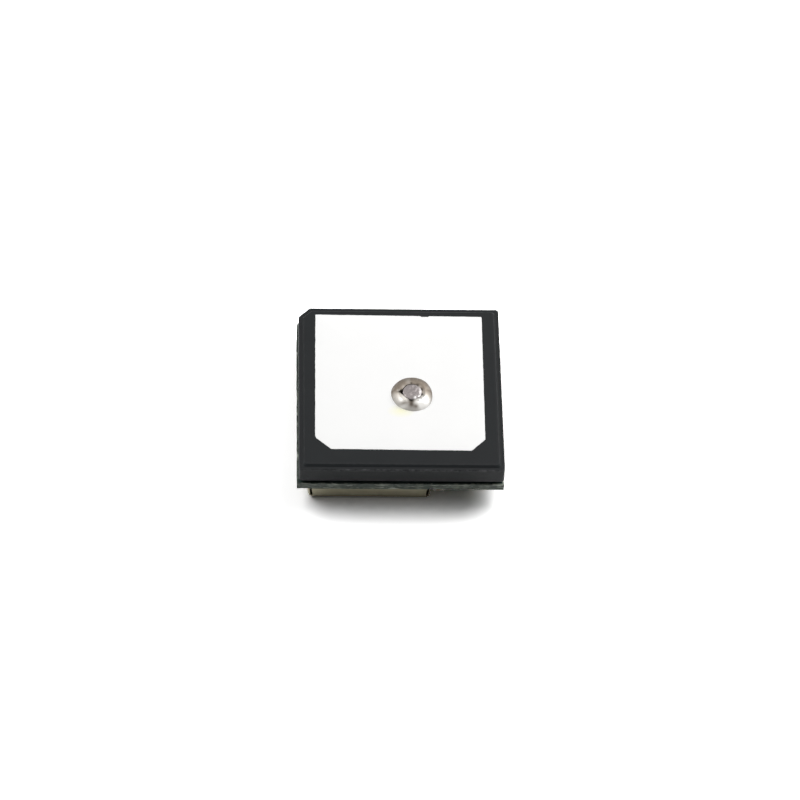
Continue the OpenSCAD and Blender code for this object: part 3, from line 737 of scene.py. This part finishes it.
# %% Board surface
rows = np.linspace(0, 1, 9)
wall = np.stack([np.zeros(len(rows)), board_t * (1 - rows)], 1)
margin = np.array([[0.6, board_t], [0.25, board_t], [0.08, board_t]])
board_profile = np.concatenate([margin, wall, margin[::-1] * [1, 0]])
board_rings = np.stack([raised(board_outline(d), z) for d, z in board_profile])
on_wall = np.exp(-(board_profile[:, 0] / 0.06) ** 2)
# The bare margin is drawn 0.17 mm wide to lighten the shaded strip under the block: partly bare laminate,
# partly painted light.
bare_margin_and_painted_light = np.exp(-(board_profile[:, 0] / 0.17) ** 2)
normal = np.zeros_like(board_rings[0, :, :2])
outer = board_rings[len(margin), :, :2] / (board_size[:2] / 2)
normal[..., 0] = np.where(np.abs(outer[:, 0]) > np.abs(outer[:, 1]), np.sign(outer[:, 0]), 0)
normal[..., 1] = np.where(normal[..., 0] == 0, np.sign(outer[:, 1]), 0)
stretched = board_rings * [1, 1, 0.6]
bite = 0.01 + 0.03 * noise(stretched, 0.7, 9) + 0.02 * noise(stretched, 0.25, 10)
bite = bite + 0.01 * noise(board_rings, 0.1, 11)
board_rings[..., :2] -= normal * (np.maximum(bite, 0) * on_wall[:, None])[..., None]
inner = ring_to_hole(board_rings[0, :, :2], hole_r, feed - board_mid[:2], [0, 0.3, 0.6, 0.9])
board_rings = np.concatenate([raised(inner, board_t), board_rings, raised(inner[::-1], 0.0)])
cut = np.pad(bare_margin_and_painted_light, len(inner))
board_mesh = skin("board", board_rings + [*board_mid[:2], board_low[2]], cut=cut[None, :, None])
place(board_mesh, "board_laminate", "circuit_board")

# %% [markdown]
# The mask gives a smooth, half-glossy dark green. The cut laminate shows layers of glass cloth, 0.15 mm thick
# and wavy, with resin between them, and pale flecks where bundles of fibres were torn open. A bundle is
# somewhat under a millimetre long and lies along the edge, so the patterns are squeezed to a seventh of their
# height.

# %% Masked laminate
laminate, tree = blank("glass epoxy laminate with green mask")
where = add(tree, "TexCoord", out="Object")
bare = add(tree, "Attribute", out="Fac", attribute_name="cut")
bare = add(tree, "MapRange", {0: bare, 1: 0.45, 2: 0.75})
squeeze = 7
cloth_t = 0.15
flat = add(tree, "Mapping", {"Vector": where, "Scale": (1, 1, squeeze)})
wave_rate = 20
bands = 2 * np.pi / wave_rate / (cloth_t * MM * squeeze)
cloth = add(
    tree, "TexWave", {"Vector": flat, "Scale": bands, "Distortion": 3.0, "Detail": 2.0, "Detail Scale": 2.0},
    out="Fac", bands_direction="Z")
cloth = add(tree, "MapRange", {0: cloth, 1: 0.0, 2: 0.6, 3: 0.4, 4: 1.0})
bundle = add(tree, "TexNoise", {"Vector": flat, "Scale": 1 / (0.8 * MM), "Detail": 4.0, "Roughness": 0.6})
torn = add(tree, "TexNoise", {"Vector": where, "Scale": 1 / (1.1 * MM), "Detail": 2.0})
torn = add(tree, "MapRange", {0: torn, 1: 0.42, 2: 0.6, 3: 0.12, 4: 1.0})
fleck = add(tree, "MapRange", {0: bundle, 1: 0.38, 2: 0.66})
fleck = add(tree, "Math", {0: fleck, 1: torn}, operation="MULTIPLY")
fibre = add(tree, "Mix", {0: fleck, 6: linear("3b443d"), 7: linear("8f978b")}, **rgba)
fibre = add(tree, "Mix", {0: cloth, 6: linear("2a322c"), 7: fibre}, **rgba)
split = add(tree, "TexNoise", {"Vector": flat, "Scale": 1 / (1.3 * MM), "Detail": 3.0})
split = add(tree, "MapRange", {0: split, 1: 0.56, 2: 0.68})
fibre = add(tree, "Mix", {0: split, 6: fibre, 7: linear("bec5b8")}, **rgba)
cloud = add(tree, "TexNoise", {"Vector": where, "Scale": 1 / (1.5 * MM), "Detail": 2.0})
mask = add(tree, "Mix", {0: cloud, 6: linear("1b2d28"), 7: linear("274038")}, **rgba)
over = add(tree, "Attribute", out="Fac", attribute_name="copper")
mask = add(tree, "Mix", {0: over, 6: mask, 7: linear("2c5c46")}, **rgba)
tone = add(tree, "Mix", {0: bare, 6: mask, 7: fibre}, **rgba)
dull = add(tree, "MapRange", {0: bare, 1: 0.0, 2: 1.0, 3: 0.3, 4: 0.7})
fuzz = add(tree, "Math", {0: bundle, 1: bare}, operation="MULTIPLY")
rough = add(tree, "Bump", {"Strength": 0.3, "Distance": 0.03 * MM, "Height": fuzz})
shader = add(tree, "BsdfPrincipled", {
    "Base Color": tone, "Roughness": dull, "Normal": rough})
add(tree, "OutputMaterial", {"Surface": shader})
board_mesh.materials.append(laminate)

# %% [markdown]
# ## The shield can
# The can is stamped from tinned sheet, its walls folded down round a flat face, with an open slit beside each
# corner. The sheet's section, out along the face, round the bend, up the wall, over the rim and back inside,
# is carried round a rounded rectangle. In a slit the rim simply drops to the slit's foot, and doubled points
# give the slit upright sides. The two long walls spring in a little towards the face. Folded planes with
# Solidify could make the sheet too, but here each step of the section can be placed.

# %% Can outline and slits
can_low, can_high = corners("shield_can")
can_mid = (can_low + can_high) / 2
can_w, can_d, can_h = can_high - can_low
sheet_t = 0.15
bend_r = 0.18
outer_r = sheet_t + bend_r
slit_w = 0.26
slit_z = outer_r + 0.07
spring_in = 0.028


def can_outline(inset):
    """Outline of the can's wall, set in by the given distance, with many points on each corner."""
    half = np.array([can_w, can_d]) / 2 - inset
    radius = max(outer_r - inset, 0.02)
    return rounded_path(half * square, radius, [240, 90, 240, 90], arc=40)


wall_path = can_outline(0)
slit_far = can_w / 2 - sheet_t - 0.04
in_slit = (np.abs(wall_path[:, 0]) > slit_far - slit_w) & (np.abs(wall_path[:, 0]) < slit_far)
in_slit &= np.abs(wall_path[:, 1]) > can_d / 2 - outer_r / 2
enters = in_slit & ~np.roll(in_slit, 1)
leaves = in_slit & ~np.roll(in_slit, -1)
copies = 1 + enters.astype(int) + leaves.astype(int)
order = np.repeat(np.arange(len(wall_path)), copies)
first = np.concatenate([[True], np.diff(order) > 0])
final = np.concatenate([np.diff(order) > 0, [True]])
low_rim = in_slit[order] & ~(enters[order] & first) & ~(leaves[order] & final)
rim_z = np.where(low_rim, slit_z, can_h)
print("can wall:", len(wall_path), "points,", in_slit.sum(), "of them in slits")

# %% Can surface
bend = np.linspace(0, np.pi / 2, 8)
shares = np.linspace(0, 1, 8)[1:]
columns = [raised((can_outline(outer_r) * s)[order], 0.0) for s in np.linspace(0, 1, 12)[:-1]]
columns += [raised(can_outline(outer_r * (1 - np.sin(a)))[order], outer_r * (1 - np.cos(a))) for a in bend]
columns += [raised(wall_path[order], outer_r + (rim_z - outer_r) * s) for s in shares]
columns += [raised(can_outline(sheet_t)[order], rim_z + (outer_r - rim_z) * s) for s in np.linspace(0, 1, 8)]
inner_bend = zip(sheet_t + bend_r * (1 - np.cos(bend[1:])), outer_r - bend_r * np.sin(bend[1:]))
columns += [raised(can_outline(inset)[order], z) for inset, z in inner_bend]
columns += [raised((can_outline(outer_r) * s)[order], sheet_t) for s in np.linspace(1, 0, 8)[1:]]
columns = np.stack(columns, 1)
columns[..., 0] *= 1 - spring_in * (1 - columns[..., 2] / can_h)
can_mesh = skin("can", columns + [*can_mid[:2], can_low[2]], (True, False))
place(can_mesh, "can_sheet", "shield_can")

# %% [markdown]
# Tinned steel sheet is a warm grey metal, half-dull, with fine streaks along the direction in which it was
# rolled. Real streaks are a few hundredths of a millimetre wide, too fine to show, so they are drawn 0.12 mm
# wide and 5 mm long.

# %% Rolled sheet
sheet, tree = blank("rolled tinned steel sheet")
where = add(tree, "TexCoord", out="Object")
drawn = add(tree, "Mapping", {"Vector": where, "Scale": (1, 42, 42)})
streak = add(tree, "TexNoise", {"Vector": drawn, "Scale": 1 / (5 * MM), "Detail": 4.0})
cloud = add(tree, "TexNoise", {"Vector": where, "Scale": 1 / (2.5 * MM), "Detail": 3.0})
tone = add(tree, "Mix", {0: cloud, 6: linear("8e8974"), 7: linear("a39e88")}, **rgba)
shiny = add(tree, "MapRange", {0: streak, 1: 0.45, 2: 0.75, 3: 0.0, 4: 0.2})
tone = add(tree, "Mix", {0: shiny, 6: tone, 7: linear("bdb8a3")}, **rgba)
dull = add(tree, "MapRange", {0: streak, 1: 0.3, 2: 0.7, 3: 0.31, 4: 0.43})
rough = add(tree, "Bump", {"Strength": 0.08, "Distance": 0.01 * MM, "Height": streak})
shader = add(tree, "BsdfPrincipled", {
    "Base Color": tone, "Roughness": dull, "Metallic": 1.0, "Normal": rough})
add(tree, "OutputMaterial", {"Surface": shader})
can_mesh.materials.append(sheet)
dress(sheet, "oscillator_lid", "crystal_lid")

# %% [markdown]
# ## Solder at the can's foot
# The rim of the can stands on a tinned track and is soldered to it. Solder creeps up the wall in a hollow
# curve: flat where it meets the board, upright where it meets the can. The curve is a quarter of a circle,
# carried round the can at an uneven width, with a wider flare beside each corner. A bevel on the edge would
# be simpler, but it would be straight and even, which solder never is.

# %% Foot of the can
track_end = corners("ground_track")[1][0]
creep = np.linspace(0, np.pi / 2, 8)
from_corner = wall_path[:, None] - square * [can_w / 2, can_d / 2]
flare = np.exp(-(from_corner ** 2).sum(-1) / 0.45 ** 2) @ np.array([0.18, 0.12, 0.16, 0.2])
spread = 0.05 + 0.02 * noise(raised(wall_path, 0.0), 0.8, 12) + flare
hollow = (1 - np.sin(creep))[:, None] * spread
core = np.array([can_w, can_d]) / 2 - outer_r
away = unit(wall_path - np.clip(wall_path, -core, core))
bead = wall_path[None] + away * hollow[..., None]
board_reach = board_size[1] / 2 - 0.03
bead[..., 1] = np.clip(bead[..., 1], -board_reach, board_reach)
climb = (1 - np.cos(creep))[:, None] * (0.12 + 0.9 * spread) * np.where(in_slit, 0.35, 1)
bead = raised(bead, board_low[2] - climb)
tucked = wall_path - away * 0.03
bead = np.concatenate([bead, [raised(tucked, board_low[2] - climb[-1]), raised(tucked, board_low[2])]])
bead_mesh = skin("can_solder", bead + [*can_mid[:2], 0], dull=0.7)
place(bead_mesh, "solder")
bead_mesh.materials.append(solder)

# %% [markdown]
# ## Chip parts
# A chip capacitor is a block of fired ceramic layers, tumbled until its edges are round, with its ends dipped
# in metal. The CAD gives each body and each end as a plain block. The blocks of one node are told apart by
# their triangles, and each is redrawn with rounded edges: the eighths of a small ball pushed out into the
# corners of the block. A Bevel modifier on the CAD blocks would stumble over their loose triangles.

# %% Solids of a CAD node


def solids(name):
    """Boxes of the separate solids in a CAD node, in millimetres, shaped (solids, 2, 3). Every point takes the
    lowest number among the points that share a triangle with it, again and again until nothing changes."""
    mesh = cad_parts[name].data
    at = np.empty(len(mesh.vertices) * 3)
    mesh.vertices.foreach_get("co", at)
    at = at.reshape(-1, 3) / MM
    ends = np.empty(len(mesh.loops), int)
    mesh.loops.foreach_get("vertex_index", ends)
    same = np.unique(at.round(4), axis=0, return_inverse=True)[1].ravel()
    faces = same[ends].reshape(-1, 3)
    number = np.arange(same.max() + 1)
    before = number + 1
    while not np.array_equal(before, number):
        before = number.copy()
        np.minimum.at(number, faces, number[faces].min(1, keepdims=True))
    group = number[same]
    return np.array([[at[group == g].min(0), at[group == g].max(0)] for g in np.unique(group)])


print("chip capacitors:", len(solids("capacitor_bodies")))

# %% Rounded blocks
quarter = np.linspace(0, np.pi / 2, 5)
round_turn = (np.arange(4)[:, None] * np.pi / 2 + quarter).ravel()
round_side = np.repeat([[1, 1], [-1, 1], [-1, -1], [1, -1]], len(quarter), axis=0)
round_ring = np.stack([np.cos(round_turn), np.sin(round_turn)], 1)


def rounded_blocks(boxes, radius):
    """Blocks with round edges and corners. The eighths of a ball of the given radius move out to the corners of
    each box, the quads between them become its faces, and a point in the middle of each end closes it."""
    lift = np.concatenate([quarter - np.pi / 2, quarter])
    ball = np.empty((len(round_turn), len(lift), 3))
    ball[..., :2] = round_ring[:, None] * np.cos(lift)[:, None]
    ball[..., 2] = np.sin(lift)
    side = np.empty_like(ball)
    side[..., :2] = round_side[:, None]
    side[..., 2] = np.repeat([-1, 1], len(quarter))
    centre = boxes.mean(1)[:, None, None]
    half = (boxes[:, 1] - boxes[:, 0])[:, None, None] / 2
    grid = centre + ball * radius + side * (half - radius)
    ends = np.broadcast_to(centre + half * [[[[0, 0, -1]], [[0, 0, 1]]]], (len(boxes), 2, 1, 3))
    ends = np.repeat(ends, len(round_turn), axis=2).swapaxes(1, 2)
    return np.concatenate([ends[:, :, :1], grid, ends[:, :, 1:]], 2)


def blocks(name, slot, radius):
    """Redraws all solids of one CAD node as rounded blocks."""
    mesh = skin(name + "_round", rounded_blocks(solids(name), radius), (True, False))
    return place(mesh, slot, name).data


tan_meshes = [
    blocks("capacitor_bodies", "capacitor_ceramic", 0.03),
    blocks("supply_capacitor_bodies", "capacitor_ceramic", 0.04)]
black_meshes = [blocks("resistor_bodies", "mould_compound", 0.02)]
tin_meshes = [
    blocks("capacitor_ends", "terminal_tin", 0.06),
    blocks("supply_capacitor_ends", "terminal_tin", 0.08),
    blocks("resistor_ends", "terminal_tin", 0.04)]

# %% [markdown]
# ## The regulator
# The small regulator is moulded round its lead frame in a two-part tool, so its flanks slope away from a band
# in the middle, and one corner of its face has a small dimple that marks the first lead. Its leads are
# strips, bent twice. Each is a rounded strip section carried along its centre line.

# %% Regulator body
body_low, body_high = corners("regulator_body")
body_mid = (body_low + body_high) / 2
body_half = (body_high - body_low) / 2
lead_t = 0.12
draft_w = 0.08
flat_in = 0.3
mark_at = [0.45, 1.05]
mark_r = 0.2
mark_d = 0.04
band = np.array([-1, 1]) * lead_t / 2 + body_mid[2]
body_profile = rounded_path(
    [[flat_in, body_low[2]], [draft_w, body_low[2]], [0, band[0]],
     [0, band[1]], [draft_w, body_high[2]], [flat_in, body_high[2]]],
    [0, 0.05, 0.02, 0.02, 0.05, 0], [6, 3, 1, 3, 1, 1], closed=False)


def body_ring(inset, share=1.0):
    """Rounded rectangle of the regulator's body, set in by a distance and then shrunk towards the middle."""
    half = body_half[:2] - inset
    return rounded_path(half * square, 0.06, [24, 40, 24, 40], arc=5) * share


body_rows = [raised(body_ring(flat_in, s), body_low[2]) for s in np.linspace(0, 1, 14)[:-1]]
body_rows += [raised(body_ring(inset), z) for inset, z in body_profile]
body_rows += [raised(body_ring(flat_in, s), body_high[2]) for s in (0.5, 0.0)]
body_rows = np.stack(body_rows)
from_mark = np.linalg.norm(body_rows[..., :2] - mark_at, axis=-1)
dimple = mark_d * np.clip(1 - (from_mark / mark_r) ** 2, 0, 1) ** 0.5
body_rows[..., 2] += np.where(body_rows[..., 2] < band[0] - 0.2, dimple, 0)
regulator_mesh = skin("regulator_case", body_rows + [*body_mid[:2], 0], (False, True))
place(regulator_mesh, "mould_compound", "regulator_body")
black_meshes.append(regulator_mesh)

# %% Regulator leads
lead_w = 0.4
lead_r = 0.03
lead_boxes = solids("regulator_leads")
arm_z = body_mid[2]
foot_z = board_low[2] - lead_t / 2
points = [[-0.05, arm_z], [0.31, arm_z], [0.31, foot_z], [0.6, foot_z]]
line = rounded_path(points, [0, 0.1, 0.1, 0], [3, 4, 4, 1], closed=False)
ahead = unit(np.gradient(line, axis=0))
strip = round_side * (np.array([lead_w, lead_t]) / 2 - lead_r) + round_ring * lead_r
sections = np.empty((len(line), len(strip), 3))
sections[..., 0] = line[:, :1] - ahead[:, 1:] * strip[:, 1]
sections[..., 1] = strip[:, 0]
sections[..., 2] = line[:, 1:] + ahead[:, :1] * strip[:, 1]
tips = np.repeat(sections.mean(1, keepdims=True), len(strip), axis=1)
sections = np.concatenate([tips[:1], sections, tips[-1:]])
to_right = lead_boxes[:, :, 0].mean(1) > body_mid[0]
grids = []
for box, outwards in zip(lead_boxes, to_right):
    turn = np.array([1, 1, 1]) if outwards else np.array([-1, -1, 1])
    start = [body_high[0] if outwards else body_low[0], box[:, 1].mean(), 0]
    grids.append(sections * turn + start)
lead_mesh = skin("regulator_strips", np.stack(grids), (False, True))
place(lead_mesh, "terminal_tin", "regulator_leads")
tin_meshes.append(lead_mesh)

# %% [markdown]
# Each terminal in sight stands in a small skirt of solder, with the same hollow curve as at the can's foot. A
# skirt is the terminal's own rectangle, widened most at the board and not at all at the top.

# %% Solder skirts
foot_r = 0.04
arm_l = 0.3


def skirts(boxes, reach, rise):
    """Hollow skirts of solder round the feet of terminals: rounded rectangles that shrink by one minus the sine
    of an angle while they climb by one minus its cosine."""
    centre = boxes.mean(1)[:, None, None, :2]
    half = (boxes[:, 1] - boxes[:, 0])[:, None, None, :2] / 2
    wide = reach * (1 - np.sin(creep))[:, None]
    grid = np.empty((len(boxes), len(round_turn), len(creep), 3))
    grid[..., :2] = centre + round_side[:, None] * (half - foot_r) + round_ring[:, None] * (foot_r + wide)
    grid[..., 0] = np.maximum(grid[..., 0], track_end + 0.02)
    grid[..., 2] = board_low[2] - rise * (1 - np.cos(creep))
    ends = np.repeat(grid[:, :, [0, -1]].mean(1, keepdims=True), len(round_turn), axis=1)
    return np.concatenate([ends[:, :, :1], grid, ends[:, :, 1:]], 2)


feet = lead_boxes.copy()
feet[:, 0, 0] += np.where(to_right, arm_l, 0)
feet[:, 1, 0] -= np.where(to_right, 0, arm_l)
terminals = np.concatenate([solids(n) for n in ("capacitor_ends", "supply_capacitor_ends", "resistor_ends")])
terminals = terminals[terminals[:, 0, 0] > track_end]
skirt_grid = np.concatenate([skirts(terminals, 0.11, 0.26), skirts(feet, 0.09, 0.1)])
# The skirts take a little of the painted highlight, so they read lighter.
skirt_mesh = skin("part_solder", skirt_grid, (True, False), frost=0.2)
place(skirt_mesh, "solder")
skirt_mesh.materials.append(solder)

# %% [markdown]
# ## Tracks under the mask
# Copper tracks join the wire pads to the parts, or end in a small plated hole that leads into the board. The
# mask covers them, and they show as low ridges of a lighter green. Each is a flat strip, carried along
# straight runs with slanting corners, and each hole is a low ring. A texture could draw them, but the ridges
# are part of the shape.

# %% One track
ridge = 0.025


def track(points, width):
    """Low strip along a path in the plane of the board's underside: the section is as wide as the track at the
    board and a little narrower on top, and the strip ends in the middle of its last section."""
    line = rounded_path(points, 0.08, 6, arc=4, closed=False)
    ahead = unit(np.gradient(line, axis=0))
    aside = np.stack([-ahead[:, 1], ahead[:, 0]], 1)
    section = np.array([[-0.5, -0.5], [-0.5, 0.3], [-0.42, 0.9], [0, 1], [0.42, 0.9], [0.5, 0.3], [0.5, -0.5]])
    strip = line[:, None] + aside[:, None] * (section[:, 0] * width)[:, None]
    strip = raised(strip, board_low[2] - ridge * (0.8 + width / 2) * section[:, 1])
    tips = np.repeat(strip.mean(1, keepdims=True), len(section), axis=1)
    return np.concatenate([tips[:1], strip, tips[-1:]])


print("a bent track has the grid", track([[0, 0], [1, 0], [2, 1]], 0.22).shape)

# %% Runs of the tracks
pad_rows = solids("wire_pads")
pad_x = pad_rows[0, 0, 0] + 0.1
pad_y = np.sort(pad_rows[:, :, 1].mean(1))
lead_y = np.sort(lead_boxes[to_right][:, :, 1].mean(1))
supply_y = np.sort(solids("supply_capacitor_ends")[:2, :, 1].mean(1))
thin_z = 1.15
line_y = np.sort(np.unique(terminals[terminals[:, 0, 2] > thin_z][:, :, 1].mean(1).round(3)))
part_x = body_mid[0]
vias = [
    [3.5, pad_y[0]], [3.9, pad_y[1] + 0.5], [3.5, pad_y[2]],
    [6.0, line_y[1]], [3.2, line_y[0]], [3.2, line_y[1]]]
runs = [
    ([[pad_x, pad_y[0]], vias[0]], 0.4),
    ([[pad_x, pad_y[1]], [4.4, pad_y[1]], vias[1]], 0.22),
    ([[pad_x, pad_y[2]], vias[2]], 0.22),
    ([[pad_x, pad_y[3]], [5.6, pad_y[3]], [5.6 - (pad_y[3] - line_y[0]), line_y[0]],
      [part_x + 0.4, line_y[0]]], 0.22),
    ([[part_x + 0.4, line_y[1]], vias[3]], 0.22),
    ([[part_x - 0.4, line_y[0]], vias[4]], 0.22),
    ([[part_x - 0.4, line_y[1]], vias[5]], 0.22),
    ([[pad_x, pad_y[4]], [5.5, pad_y[4]], [5.5 - (pad_y[4] - supply_y[0]), supply_y[0]],
      [part_x + 0.6, supply_y[0]]], 0.4),
    ([[5.9, pad_y[4]], [5.9, supply_y[1] - 0.3], [5.6, supply_y[1]], [part_x + 0.6, supply_y[1]]], 0.4),
    ([[pad_x, pad_y[5]], [6.2, pad_y[5]], [6.2 - (pad_y[5] - lead_y[0]), lead_y[0]], [5.5, lead_y[0]]], 0.4),
    ([[5.5, lead_y[2]], [6.3, lead_y[2]], [6.6, lead_y[2] - 0.3], [6.6, pad_y[5] + 0.2]], 0.3),
    ([[part_x - 0.6, supply_y[0]], [part_x - 0.6, supply_y[1]]], 0.4),
    ([[part_x - 0.6, supply_y[1]], [part_x - 0.9, supply_y[1] + 0.3], [part_x - 0.9, lead_y[0]]], 0.35),
]
print(len(runs), "runs and", len(vias), "plated holes")

# %% Tracks and holes
trace_meshes = []
for i, (points, width) in enumerate(runs):
    trace_meshes.append(skin(f"track_{i}", track(points, width), (False, True), copper=1.0))
mouth = np.array([
    [0.0, 0.2], [0.06, 0.35], [0.11, 0.9], [0.16, 1.0], [0.22, 0.9], [0.25, 0.3], [0.25, -0.5], [0.0, -0.5]])
rings = np.stack([turned(mouth[:, 0], -ridge * mouth[:, 1], np.array(at), board_low[2])[::4] for at in vias])
trace_meshes.append(skin("plated_holes", rings, (True, False), copper=1.0))
for trace in trace_meshes:
    place(trace, "board_laminate")
    trace.materials.append(laminate)

# %% [markdown]
# ## Plain finishes
# The small parts need no story of their own: a fine noise at the size of the grain moves the colour, the
# gloss and the surface a little. One recipe serves moulding compound, fired ceramics, tin, gold, copper and
# tape, and the numbers tell them apart: moulding compound is a matte black with a fine sparkle of filler,
# fired ceramic is chalky, tin, gold and tinned copper are soft metals with a gloss that varies from spot to
# spot, and the foam tape is a dull, blackish grey with open pores. Grain that is too fine to show is drawn
# about a tenth of a millimetre wide.

# %% One recipe, seven finishes


def grained(name, grain, dark, pale, gloss, metallic, depth):
    """Material whose noise, `grain` millimetres wide, mixes two colours, moves the roughness between two
    values, and raises the surface by up to `depth` millimetres."""
    material, tree = blank(name)
    where = add(tree, "TexCoord", out="Object")
    fine = add(tree, "TexNoise", {"Vector": where, "Scale": 1 / (grain * MM), "Detail": 3.0})
    spread = add(tree, "MapRange", {0: fine, 1: 0.35, 2: 0.65})
    tone = add(tree, "Mix", {0: spread, 6: linear(dark), 7: linear(pale)}, **rgba)
    dull = add(tree, "MapRange", {0: spread, 1: 0.0, 2: 1.0, 3: gloss[0], 4: gloss[1]})
    rough = add(tree, "Bump", {"Strength": 0.5, "Distance": depth * MM, "Height": fine})
    shader = add(tree, "BsdfPrincipled", {
        "Base Color": tone, "Roughness": dull, "Metallic": metallic, "Normal": rough})
    add(tree, "OutputMaterial", {"Surface": shader})
    return material


compound = grained("black moulding compound", 0.08, "1f1f21", "2d2d2f", (0.5, 0.65), 0.0, 0.01)
alumina = grained("pale fired alumina", 0.1, "cfcabb", "dedacc", (0.55, 0.7), 0.0, 0.005)
titanate = grained("tan capacitor ceramic", 0.07, "8a7052", "a58a66", (0.4, 0.55), 0.0, 0.006)
tin = grained("matte tin plate", 0.12, "a9a7a2", "cfcdc8", (0.28, 0.42), 1.0, 0.008)
gold = grained("immersion gold", 0.09, "cba04c", "d6ad5a", (0.24, 0.34), 1.0, 0.004)
copper = grained("tinned copper", 0.3, "a39e94", "c4c0b7", (0.25, 0.45), 1.0, 0.015)
foam = grained("black foam tape", 0.15, "3c4548", "565f62", (0.8, 0.95), 0.0, 0.03)
for meshes, material in ((tan_meshes, titanate), (black_meshes, compound), (tin_meshes, tin)):
    for mesh in meshes:
        mesh.materials.append(material)
dress(compound, "receiver_chip", "flash_chip", "amplifier_chip", "power_inductor")
dress(alumina, "saw_filter", "oscillator_base", "crystal_base", "coil_bodies")
dress(tin, "power_inductor_ends", "coil_ends")
dress(gold, "wire_pads")
dress(copper, "ground_track")
dress(foam, "adhesive_tape")
